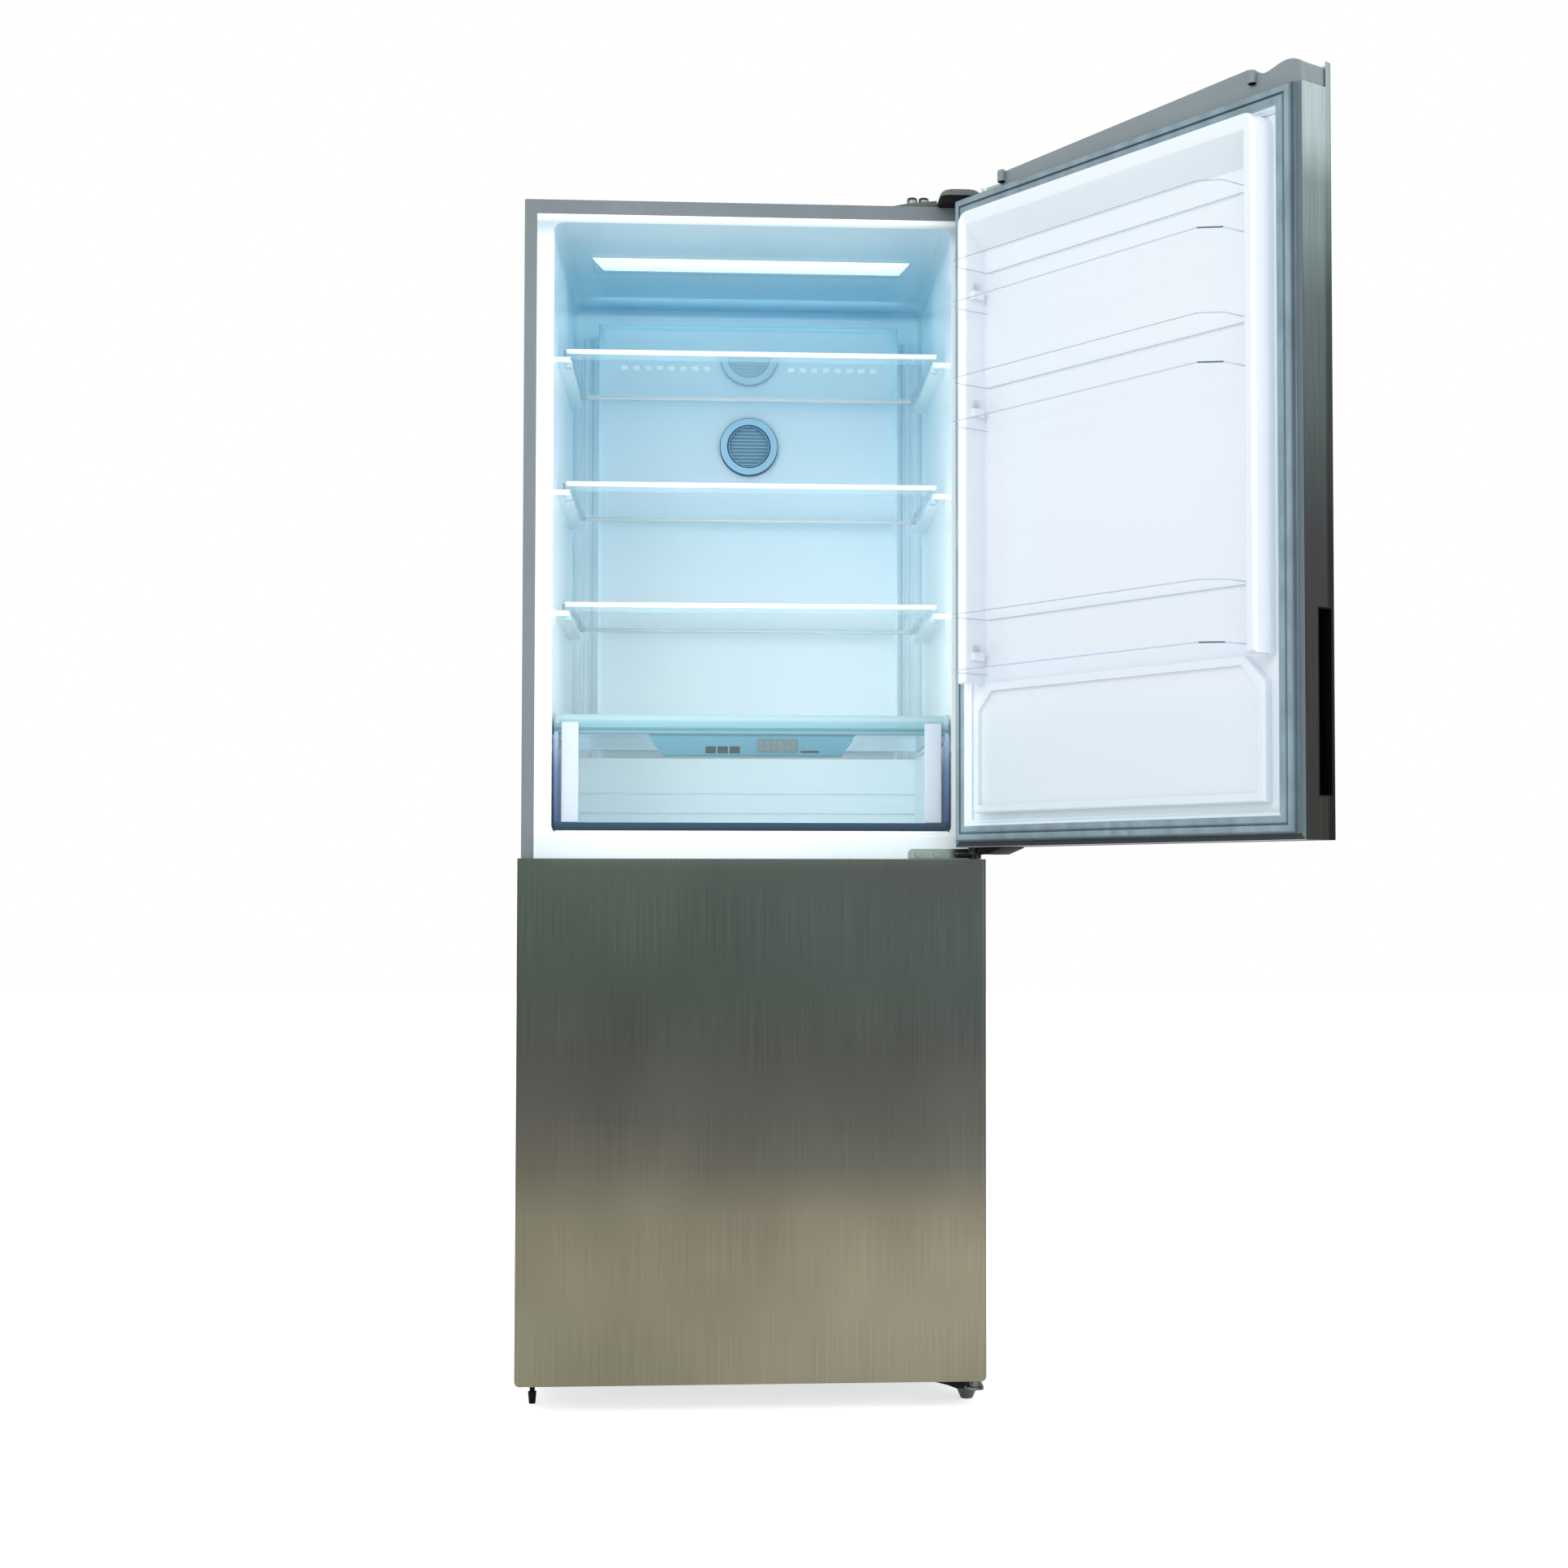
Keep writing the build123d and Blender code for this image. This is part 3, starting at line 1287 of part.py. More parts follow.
pieces["cabinet_shell"] = cabinet_shell()
pieces["rear_panel"] = rear_panel()
pieces["base_plate"] = base_plate()
pieces["insulation_foam"] = insulation_foam()
pieces["fridge_liner"] = fridge_liner()
pieces["freezer_liner"] = freezer_liner()
pieces["mullion_trim"] = mullion_trim()
pieces["machine_room_cover"] = machine_room_cover()
pieces["compressor"] = compressor()
pieces["compressor_mounts"] = compressor_mounts()
pieces["drip_tray"] = drip_tray()
pieces["condenser_coil"] = condenser_coil()
pieces["control_box"] = control_box()
pieces["power_inlet"] = power_inlet()
pieces["lamp_diffuser"] = lamp_lens_piece()
pieces["lamp_board"] = lamp_board_piece()
pieces["air_duct_panel"] = air_duct_panel()
pieces["filter_cover"] = filter_cover()
pieces["crisper_cover_glass"] = crisper_cover_glass()
pieces["crisper_cover_frame"] = crisper_cover_frame()
pieces["humidity_slider"] = humidity_slider()
pieces["crisper_drawer"] = crisper_drawer()
pieces["evaporator"] = evaporator()
pieces["evaporator_cover"] = evaporator_cover()
pieces["evaporator_fan"] = evaporator_fan()
pieces["top_hinge"] = top_hinge()
pieces["top_hinge_cover"] = top_hinge_cover()
pieces["middle_hinge"] = middle_hinge()
pieces["bottom_hinge"] = bottom_hinge()
pieces["hinge_screws"] = hinge_screws()
pieces["roller_axles"] = roller_axles()

for side, word, radii in ((-1, "left", left_foot_radii), (1, "right", right_foot_radii)):
    pieces[word + "_foot"] = foot(side, radii)
    pieces[word + "_roller"] = roller(side)

for name, level in zip(shelf_names, shelf_levels):
    pieces[name + "_glass"] = shelf_glass_piece(level)
    pieces[name + "_trim"] = shelf_trim_piece(level)

for name, low, high, back in freezer_drawers:
    pieces[name] = freezer_drawer(low, high, back)

pieces["fridge_door_skin"] = opened(fridge_door_skin())
pieces["fridge_door_liner"] = opened(fridge_door_liner())
pieces["fridge_door_foam"] = opened(fridge_door_foam())
pieces["fridge_door_gasket"] = opened(seal(fridge_door_low + seal_end_inset, fridge_cap_low))
pieces["fridge_door_top_cap"] = opened(fridge_door_top_cap())
pieces["fridge_door_bottom_cap"] = opened(fridge_door_bottom_cap())
pieces["fridge_door_grip"] = opened(grip_piece(fridge_grip_low))
for name, (low, high) in zip(bin_names, bin_levels):
    pieces[name] = opened(door_bin(low, high))

freezer_skin = door_skin_piece(freezer_door_low, freezer_door_high, freezer_grip_low)
pieces["freezer_door_skin"] = freezer_skin - lower_corners()
pieces["freezer_door_liner"] = freezer_door_liner()
pieces["freezer_door_foam"] = freezer_door_foam()
pieces["freezer_door_gasket"] = seal(freezer_door_low + seal_end_inset, freezer_door_high - seal_end_inset)
pieces["freezer_door_caps"] = freezer_door_caps()
pieces["freezer_door_grip"] = grip_piece(freezer_grip_low)

os.makedirs("parts", exist_ok=True)
for name, shape in pieces.items():
    export_step(shape, os.path.join("parts", name + ".step"))
print(len(pieces), "pieces written")
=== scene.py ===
import json
import math

import bmesh
import bpy
from mathutils import Matrix, Vector


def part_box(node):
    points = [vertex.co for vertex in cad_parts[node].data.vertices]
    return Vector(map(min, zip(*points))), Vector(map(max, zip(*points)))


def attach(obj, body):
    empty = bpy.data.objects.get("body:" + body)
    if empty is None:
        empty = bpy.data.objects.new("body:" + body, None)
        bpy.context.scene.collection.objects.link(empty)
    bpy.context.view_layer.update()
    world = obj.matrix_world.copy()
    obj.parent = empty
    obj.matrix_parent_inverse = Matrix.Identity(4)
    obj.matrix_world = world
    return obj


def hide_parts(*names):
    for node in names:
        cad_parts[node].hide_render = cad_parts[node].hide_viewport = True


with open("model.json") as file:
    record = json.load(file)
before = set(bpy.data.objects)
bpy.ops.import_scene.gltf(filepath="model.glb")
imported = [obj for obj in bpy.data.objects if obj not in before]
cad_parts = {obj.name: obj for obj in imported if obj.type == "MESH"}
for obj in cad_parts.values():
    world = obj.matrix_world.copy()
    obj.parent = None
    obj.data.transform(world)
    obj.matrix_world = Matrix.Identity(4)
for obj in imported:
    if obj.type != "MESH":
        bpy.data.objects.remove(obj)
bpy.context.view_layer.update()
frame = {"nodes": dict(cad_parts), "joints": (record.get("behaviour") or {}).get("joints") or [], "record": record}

# Bottom freezer refrigerator, metres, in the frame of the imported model.
# +X to the right, +Y to the rear, +Z up. The fridge door stands open at rest.

nodes = frame["nodes"]
mm = 0.001


def place(node, axis, end):
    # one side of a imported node, in metres
    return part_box(node)[end][axis]


# the fridge door is modelled shut and then turned to where it stands
doorJoint = [joint for joint in frame["joints"] if joint["name"] == "fridge_door_swing"][0]
doorAngle = -math.radians(doorJoint["range_deg"][0])
doorPin = Vector(doorJoint["pos_m"])
doorTurn = (Matrix.Translation(doorPin) @ Matrix.Rotation(doorAngle, 4, "Z")
            @ Matrix.Translation(-doorPin))

cabinet = {
    "half": place("cabinet_shell", 0, 1), "top": place("cabinet_shell", 2, 1),
}
doorHeights = {word: (place(word + "_door_skin", 2, 0), place(word + "_door_skin", 2, 1))
               for word in ("fridge", "freezer")}
fridge = {
    "floor": 860 * mm, "ceiling": 1797 * mm, "rear": 550 * mm,
}
linerHeights = (fridge["floor"], fridge["ceiling"])


# shader nodes

def linear(colour):
    # sRGB hex to the linear values that the shaders take
    parts = [int(colour[at:at + 2], 16) / 255 for at in (1, 3, 5)]
    return tuple(p / 12.92 if p <= 0.04045 else ((p + 0.055) / 1.055) ** 2.4 for p in parts) + (1.0,)


def addNode(tree, kind, values=None, links=None, **settings):
    node = tree.nodes.new("ShaderNode" + kind)
    for name, value in settings.items():
        setattr(node, name, value)
    for name, value in (values or {}).items():
        node.inputs[name].default_value = value
    feed(tree, node, links or {})
    return node


def feed(tree, node, links):
    for name, socket in links.items():
        tree.links.new(socket, node.inputs[name])


def startMaterial(name, values):
    material = bpy.data.materials.new(name)
    material.use_nodes = True
    tree = material.node_tree
    tree.nodes.clear()
    shader = addNode(tree, "BsdfPrincipled", values)
    addNode(tree, "OutputMaterial", links={"Surface": shader.outputs[0]})
    return material, tree, shader


def grain(tree, size, detail=3.0):
    # noise on the object's own coordinates, with grains of size metres, or of (x, y, z) metres
    sizes = size if isinstance(size, tuple) else (size,) * 3
    where = addNode(tree, "TexCoord")
    scaled = addNode(tree, "Mapping", {"Scale": [1 / length for length in sizes]},
                     {"Vector": where.outputs["Object"]})
    noise = addNode(tree, "TexNoise", {"Scale": 1.0, "Detail": detail}, {"Vector": scaled.outputs[0]})
    return noise.outputs["Fac"]


def ramp(tree, source, stops):
    # colours or greys along 0 to 1
    node = addNode(tree, "ValToRGB", links={"Fac": source})
    while len(node.color_ramp.elements) < len(stops):
        node.color_ramp.elements.new(0.5)
    for element, (at, colour) in zip(node.color_ramp.elements, stops):
        element.position = at
        element.color = linear(colour) if isinstance(colour, str) else (colour, colour, colour, 1)
    return node.outputs[0]


def span(tree, source, low, high, toLow, toHigh):
    values = {"From Min": low, "From Max": high, "To Min": toLow, "To Max": toHigh}
    return addNode(tree, "MapRange", values, {"Value": source}).outputs[0]


def along(tree, axis, low, high):
    # 0 to 1 between two places on X, Y or Z
    where = addNode(tree, "TexCoord")
    split = addNode(tree, "SeparateXYZ", links={"Vector": where.outputs["Object"]})
    return span(tree, split.outputs[axis], low, high, 0, 1)


def heightRamp(tree, low, high, stops):
    # colour by height above the floor
    return ramp(tree, along(tree, "Z", low, high), stops)


def tinted(tree, first, second, share, blend="MIX"):
    # mixes two colours; share is a number or a socket
    node = addNode(tree, "Mix", data_type="RGBA", blend_type=blend)
    for at, value in ((0, share), (6, first), (7, second)):
        if isinstance(value, (float, tuple)):
            node.inputs[at].default_value = value
        else:
            tree.links.new(value, node.inputs[at])
    return node.outputs[2]


def darkened(tree, colour, noise, dark, low=0.3, high=0.7):
    # a colour times a grey between dark and 1, as the noise goes from low to high
    return tinted(tree, colour, ramp(tree, noise, ((low, dark), (high, 1.0))), 1.0, "MULTIPLY")


def clouded(tree, noise, first, second):
    # soft patches of two colours
    share = ramp(tree, noise, ((0.35, 0.0), (0.65, 1.0)))
    return tinted(tree, linear(first), linear(second), share)


def addBump(tree, shader, height, strength, distance):
    bump = addNode(tree, "Bump", {"Strength": strength, "Distance": distance}, {"Height": height})
    feed(tree, shader, {"Normal": bump.outputs[0]})


def addClear(tree, shader, share=None):
    # lets light straight through: all but a share of it or, without a share, that of lamps only
    through = addNode(tree, "BsdfTransparent", {"Color": (1, 1, 1, 1)})
    if share is None:
        light = addNode(tree, "LightPath")
        links = {0: light.outputs["Is Shadow Ray"], 1: shader.outputs[0], 2: through.outputs[0]}
        both = addNode(tree, "MixShader", links=links)
    else:
        both = addNode(tree, "MixShader", {0: share}, {1: through.outputs[0], 2: shader.outputs[0]})
    output = [node for node in tree.nodes if node.type == "OUTPUT_MATERIAL"][0]
    feed(tree, output, {"Surface": both.outputs[0]})


# finishes

def brushedStainless(name, low, high, left, right, across=(-0.31, 0.31)):
    # ferritic stainless sheet, brushed along its height under a clear coat, with a painted reflection of the room
    # in its colour: it goes from dark grey to warm taupe, a little lighter to the right, with soft patches of
    # painted reflection over fine upright streaks
    material, tree, shader = startMaterial(name, {
        "Metallic": 1.0, "Roughness": 0.34, "Anisotropic": 0.5, "Specular Tint": linear("#B8BABA"),
        "Coat Weight": 0.15, "Coat Roughness": 0.25})
    colour = tinted(tree, heightRamp(tree, low, high, left), heightRamp(tree, low, high, right),
                    along(tree, "X", *across))
    streaks = grain(tree, (1.6 * mm, 1.6 * mm, 160 * mm), 4.0)  # real grit is finer than shows
    # large soft patches of painted reflection
    paintedReflectionPatches = grain(tree, (170 * mm, 170 * mm, 260 * mm), 1.0)
    colour = darkened(tree, colour, streaks, 0.80)
    feed(tree, shader, {"Base Color": darkened(tree, colour, paintedReflectionPatches, 0.84, 0.35, 0.65),
                        "Roughness": span(tree, streaks, 0.3, 0.7, 0.27, 0.4)})
    addBump(tree, shader, streaks, 0.12, 0.1 * mm)
    return material


def coatedSheet(name, colour, pale):
    # prepainted steel: satin, faint orange peel
    material, tree, shader = startMaterial(name, {"Roughness": 0.42, "Metallic": 0.25})
    dust = grain(tree, (120 * mm, 120 * mm, 300 * mm))
    feed(tree, shader, {"Base Color": clouded(tree, dust, colour, pale)})
    addBump(tree, shader, grain(tree, 3 * mm), 0.08, 0.2 * mm)
    return material


def galvanisedSheet(name):
    # zinc dipped steel: dull grey with a broken pattern of crystals
    material, tree, shader = startMaterial(name, {"Metallic": 0.9, "Roughness": 0.5})
    where = addNode(tree, "TexCoord")
    flakes = addNode(tree, "TexVoronoi", {"Scale": 1 / (14 * mm), "Randomness": 1.0},
                     {"Vector": where.outputs["Object"]}).outputs["Distance"]
    feed(tree, shader, {"Base Color": ramp(tree, flakes, ((0.0, "#999E9F"), (1.0, "#8D9295"))),
                        "Roughness": span(tree, flakes, 0.0, 1.0, 0.46, 0.54)})
    return material


def zincPlated(name, colour):
    # bright zinc on pressed steel: bluish, slightly rubbed
    material, tree, shader = startMaterial(name, {"Metallic": 1.0, "Roughness": 0.3})
    rub = grain(tree, 9 * mm)
    feed(tree, shader, {"Base Color": darkened(tree, linear(colour), rub, 0.82),
                        "Roughness": span(tree, rub, 0.3, 0.7, 0.24, 0.42)})
    return material


def pressedHinge(name, pale, dark, across):
    # zinc on the pressed leaf, darker towards the pin at its right end
    material, tree, shader = startMaterial(name, {"Metallic": 0.9, "Roughness": 0.38})
    colour = tinted(tree, linear(pale), linear(dark), along(tree, "X", *across))
    feed(tree, shader, {"Base Color": darkened(tree, colour, grain(tree, 9 * mm), 0.82)})
    return material


def mouldedPlastic(name, colour, roughness, grit=1, depth=0.05, shade=0.94, gloss=0.5):
    # moulded plastic with a fine grain, its size and depth in mm; gloss is below its usual half
    # where the piece lies in its own shade
    material, tree, shader = startMaterial(name, {"Roughness": roughness, "Specular IOR Level": gloss})
    flow = grain(tree, 90 * mm, 1.0)
    feed(tree, shader, {"Base Color": darkened(tree, linear(colour), flow, shade)})
    addBump(tree, shader, grain(tree, grit * mm), 0.25, depth * mm)
    return material


def vacuumFormedLiner(name, low, high, stops, deep=None, depths=(0, 1)):
    # white polystyrene drawn over a mould: glossy, a little uneven, with painted shade in its colour: cooler
    # towards the top and, between the two depths, towards the darker colours of deep
    material, tree, shader = startMaterial(name, {"Roughness": 0.22, "Coat Weight": 0.2,
                                                  "Coat Roughness": 0.1})
    colour = heightRamp(tree, low, high, stops)
    if deep:
        colour = tinted(tree, colour, heightRamp(tree, low, high, deep), along(tree, "Y", *depths))
    feed(tree, shader, {"Base Color": colour})
    addBump(tree, shader, grain(tree, 60 * mm, 2.0), 0.06, 1.0 * mm)
    return material


def clearMoulding(name, colour, roughness, ior):
    # clear polystyrene or glass: lets lamps through, so that it throws no dark shadow
    material, tree, shader = startMaterial(name, {
        "Base Color": linear(colour), "Transmission Weight": 1.0, "Roughness": roughness, "IOR": ior})
    addBump(tree, shader, grain(tree, 40 * mm, 1.0), 0.05, 0.5 * mm)
    addClear(tree, shader)
    return material


def thinClear(name, low, high, stops, share):
    # thin clear plastic: a tinted gloss over what lies behind it; share is how much is plastic
    material, tree, shader = startMaterial(name, {"Roughness": 0.12, "IOR": 1.4})
    feed(tree, shader, {"Base Color": heightRamp(tree, low, high, stops)})
    addBump(tree, shader, grain(tree, 40 * mm, 1.0), 0.08, 0.5 * mm)
    addClear(tree, shader, share)
    return material


def frostedMoulding(name, colour, share):
    # translucent white polypropylene: part of the light goes through, softly
    material, tree, shader = startMaterial(name, {
        "Base Color": linear(colour), "Transmission Weight": share, "Roughness": 0.35, "IOR": 1.3})
    addBump(tree, shader, grain(tree, 4 * mm), 0.1, 0.1 * mm)
    return material


def coverPlastic(name, low, high, stops):
    # tinted styrene of the crisper cover, with painted light in its colour: the lighter and darker lines along its
    # lips and grooves are painted highlights and painted shade
    material, tree, shader = startMaterial(name, {"Roughness": 0.22, "Transmission Weight": 0.12, "IOR": 1.3})
    feed(tree, shader, {"Base Color": heightRamp(tree, low, high, stops)})
    addBump(tree, shader, grain(tree, (90 * mm, 50 * mm, 8 * mm), 2.0), 0.02, 0.3 * mm)
    return material


def litAcrylic(name, colour, strength):
    # opal acrylic with the lamp on behind it
    material, tree, shader = startMaterial(name, {
        "Base Color": linear("#FFFFFF"), "Roughness": 0.3,
        "Emission Color": linear(colour), "Emission Strength": strength})
    addBump(tree, shader, grain(tree, 2 * mm), 0.1, 0.1 * mm)
    return material


def softVinyl(name, colour, dark):
    # plasticised PVC: matt, grey blue, with a faint bloom
    material, tree, shader = startMaterial(name, {"Roughness": 0.55, "Sheen Weight": 0.15})
    bloom = grain(tree, (25 * mm, 25 * mm, 60 * mm))
    feed(tree, shader, {"Base Color": clouded(tree, bloom, colour, dark)})
    addBump(tree, shader, grain(tree, 1 * mm), 0.1, 0.1 * mm)
    return material


def castEnamel(name, colour, roughness):
    # baked enamel over rolled steel: dark, semi gloss, slightly wavy
    material, tree, shader = startMaterial(name, {"Roughness": roughness, "Coat Weight": 0.4,
                                                  "Coat Roughness": 0.2})
    wave = grain(tree, 18 * mm)
    feed(tree, shader, {"Base Color": darkened(tree, linear(colour), wave, 0.8)})
    addBump(tree, shader, wave, 0.15, 0.4 * mm)
    return material


def pouredFoam(name, colour):
    # polyurethane foam: matt, yellowish, open pores
    material, tree, shader = startMaterial(name, {"Roughness": 0.95})
    pores = grain(tree, 2 * mm)
    feed(tree, shader, {"Base Color": darkened(tree, linear(colour), pores, 0.85, 0.35, 0.65)})
    addBump(tree, shader, pores, 0.5, 0.5 * mm)
    return material


def solderMask(name):
    # coated circuit board, green under a clear lacquer
    material, tree, shader = startMaterial(name, {"Roughness": 0.3})
    tracks = grain(tree, (40 * mm, 1.5 * mm, 10 * mm))
    feed(tree, shader, {"Base Color": ramp(tree, tracks, ((0.45, "#1E5A34"), (0.55, "#2E7A48")))})
    return material


finish = {
    # the stops of both doors are painted reflection: the dark and light bands that the room leaves in the steel,
    # up each door and from left to right
    "freezerSteel": brushedStainless("brushedStainlessFreezerPaintedReflection", *doorHeights["freezer"], (
        (0.0, "#7E7B68"), (0.12, "#7C7966"), (0.23, "#777361"), (0.32, "#706D5C"), (0.41, "#5F5B50"),
        (0.50, "#52514C"), (0.63, "#494B45"), (0.76, "#454E47"), (0.87, "#4A554D"), (1.0, "#505B53")), (
        (0.0, "#83806E"), (0.12, "#888270"), (0.23, "#898370"), (0.32, "#807A6A"), (0.41, "#63645B"),
        (0.50, "#555851"), (0.63, "#4C4E4B"), (0.76, "#49524D"), (0.87, "#4E5753"), (1.0, "#545956"))),
    "fridgeSteel": brushedStainless("brushedStainlessFridgePaintedReflection", *doorHeights["fridge"], (
        (0.0, "#393A36"), (0.08, "#393A37"), (0.29, "#3D3D3C"), (0.39, "#464649"), (0.50, "#4D5857"),
        (0.60, "#5E6B6A"), (0.69, "#697678"), (0.77, "#819493"), (0.84, "#849895"), (0.90, "#B2C2C4"),
        (1.0, "#B7CAC9")), (
        # the fridge door's darker right stops take over between 732 and 737 mm across, at its free edge: painted
        # reflection in the rounded edge
        (0.0, "#222321"), (0.135, "#232422"), (0.35, "#292A29"), (0.6, "#3E4646"), (0.7, "#4C5556"),
        (0.84, "#7D8A8A"), (0.9, "#A4B3B5"), (1.0, "#A9BBBA")), (732 * mm, 737 * mm)),
    "painted": coatedSheet("greyCoatedSteel", "#6D777C", "#737E84"),
    "galvanised": galvanisedSheet("galvanisedSteel"),
    "zinc": zincPlated("zincPlatedSteel", "#9AA5A6"),
    "aluminium": zincPlated("millAluminium", "#C6C9CB"),
    "leafGrey": pressedHinge("palePressedHinge", "#8F9D98", "#2B2F31", (0.300, 0.312)),
    "footHinge": pressedHinge("darkBottomHinge", "#6E746E", "#2F3335", (0.335, 0.345)),
    # the stops are painted shade, a little darker up the walls; the last ones are the ceiling, painted darker than
    # the walls beside it, and the rim over the opening
    "liner": vacuumFormedLiner("whiteLinerWithPaintedShade", fridge["floor"], fridge["ceiling"] + 15 * mm, (
        (0.0, "#F1F8FA"), (0.5, "#ECF6FA"), (0.955, "#E2F3F9"), (0.978, "#B9CDD6"), (0.986, "#B9CDD6"),
        (0.992, "#F4FBFF"), (1.0, "#F4FBFF")), (
        # towards the rear the colours turn bluer and darker: painted shade deep inside the fridge
        (0.0, "#EEF9FC"), (0.35, "#E9F8FC"), (0.6, "#DEF3FB"), (0.84, "#CCEBF7"), (0.92, "#C9F2FF"),
        (0.966, "#C9F2FF"), (0.98, "#99CCE2"), (1.0, "#99CCE2")),
        (20 * mm, 420 * mm)),
    # painted shade: the white door liner darker towards its bottom
    "doorLiner": vacuumFormedLiner("whiteDoorLinerWithPaintedShade", *linerHeights, (
        (0.0, "#D9E5ED"), (0.17, "#DCE7EF"), (0.2, "#E2EAF3"), (0.5, "#E4EBF4"), (1.0, "#E8F0F7"))),
    # painted shade: the pale panel darker and bluer towards its top, under the ceiling
    "ductPanel": vacuumFormedLiner("paleDuctPanelWithPaintedShade", *linerHeights, (
        (0.0, "#D8ECF3"), (0.35, "#D9ECF3"), (0.6, "#C3DFED"), (0.8, "#B6D8E8"), (0.94, "#A4D3E7"),
        (1.0, "#A0D2E7"))),
    "clear": clearMoulding("clearPolystyrene", "#FAFCFF", 0.03, 1.2),
    "glass": clearMoulding("temperedShelfGlass", "#F4FBFC", 0.01, 1.45),
    "drawerClear": thinClear("clearFreezerDrawer", 0, 1, ((0.0, "#D3E2EA"), (1.0, "#D9E8F0")), 0.16),
    "crisperEdge": thinClear("blueCrisperEdge", 868 * mm, 1016 * mm, (
        (0.0, "#0C2A3C"), (0.07, "#1C4760"), (0.09, "#3A5486"), (0.6, "#5F79A6"), (1.0, "#9DB4D4")), 0.96),
    "crisperFront": thinClear("clearCrisperFront", 868 * mm, 1040 * mm, (
        (0.0, "#D4EBF3"), (0.4, "#DCEFF6"), (1.0, "#CDE7F0")), 0.05),
    # the light and dark stops are painted highlights and painted shade at the bar's lips and grooves
    "tealTrim": coverPlastic("tealCoverWithPaintedLines", 980 * mm, 1044 * mm, (
        (0.0, "#2C5C6C"), (0.06, "#48859A"), (0.46, "#5492A6"), (0.53, "#3E7382"), (0.56, "#7FB2BE"),
        (0.64, "#4C8795"), (0.70, "#7CB1BE"), (0.82, "#8CB9C4"), (0.86, "#9CC4CE"), (0.90, "#AFCDD5"),
        (1.0, "#A2C5CE"))),
    "clearTrim": frostedMoulding("frostedPolystyreneTrim", "#EAF7FB", 0.35),
    "frostWhite": frostedMoulding("frostedCrisperPlastic", "#E9FAFF", 0.1),
    "cheekWhite": frostedMoulding("frostedCrisperCheek", "#D2DEEC", 0.1),
    "coverPale": frostedMoulding("frostedCoverFrame", "#CBE5F0", 0.2),
    "restBlue": frostedMoulding("frostedShelfRest", "#C6DFEB", 0.2),
    "lamp": litAcrylic("opalLampAcrylic", "#E6FBFF", 0.5),
    # the seal's vinyl and lit and shaded copies of it: painted shade, a darker painted shade in the fold and a
    # painted highlight on the lip
    "seal": softVinyl("greyBlueDoorSeal", "#849DA9", "#728A96"),
    "sealShade": softVinyl("greyBlueSealShade", "#6A828F", "#5D7481"),
    "sealPaintedFoldShade": softVinyl("darkSealFoldPaintedShade", "#42545E", "#384850"),
    "sealPaintedHighlight": softVinyl("paleSealLipPaintedHighlight", "#93AAB5", "#86A0AC"),
    "enamel": castEnamel("blackCompressorEnamel", "#16181A", 0.35),
    "foam": pouredFoam("polyurethaneFoam", "#DDCFA2"),
    "board": solderMask("greenCircuitBoard"),
}
plastics = {
    "rubber": ("blackRubber", "#151515", 0.8, 1.5, 0.2),
    "whiteTrim": ("whiteAbsTrim", "#E6F1F5", 0.3, 1.2, 0.05, 0.97),
    "shelfFront": ("whiteShelfFront", "#F4FEFF", 0.3, 1.2, 0.03, 0.99),
    "ventWhite": ("whiteVentLipPaintedHighlight", "#F0FCFF", 0.3, 1, 0.05, 0.99),
    "greyPlastic": ("greyAbsCap", "#808D92", 0.42, 1, 0.08),
    "blackPlastic": ("blackAbsGrip", "#040506", 0.6, 0.9, 0.1, 0.94, 0.12),
    "edgeMoulding": ("darkDoorEdgePlastic", "#2C3438", 0.5, 1, 0.08, 0.94, 0.3),
    "edgeSide": ("greyDoorEdgePlastic", "#65757D", 0.5, 1, 0.08),
    "footGrey": ("greyLevellingFoot", "#4C524E", 0.55, 1.2, 0.1, 0.85),
    "hingeGrey": ("greyHingeCover", "#59625F", 0.5, 1.2, 0.1),
    "boltGrey": ("darkCoatedBolt", "#363D3D", 0.65, 1.2, 0.1, 0.9, 0.15),
    "deepTeal": ("deepTealSlotPaintedShade", "#04161E", 0.5, 1, 0.05, 0.94, 0.2),
    "clipGrey": ("greyCoverClip", "#A9BFC4", 0.4),
    "sliderGrey": ("greyRibbedSlider", "#566D72", 0.5, 1, 0.05, 0.94, 0.3),
    "discPale": ("paleBlueFilterRing", "#8FC2DC", 0.3),
    "discLine": ("deepBlueFilterLine", "#17457A", 0.5),
    "discGrille": ("slateBlueFilterMesh", "#5E8DA6", 0.6, 1.5, 0.2),
    "discBar": ("greyBlueFilterBar", "#8DB4C9", 0.4),
}
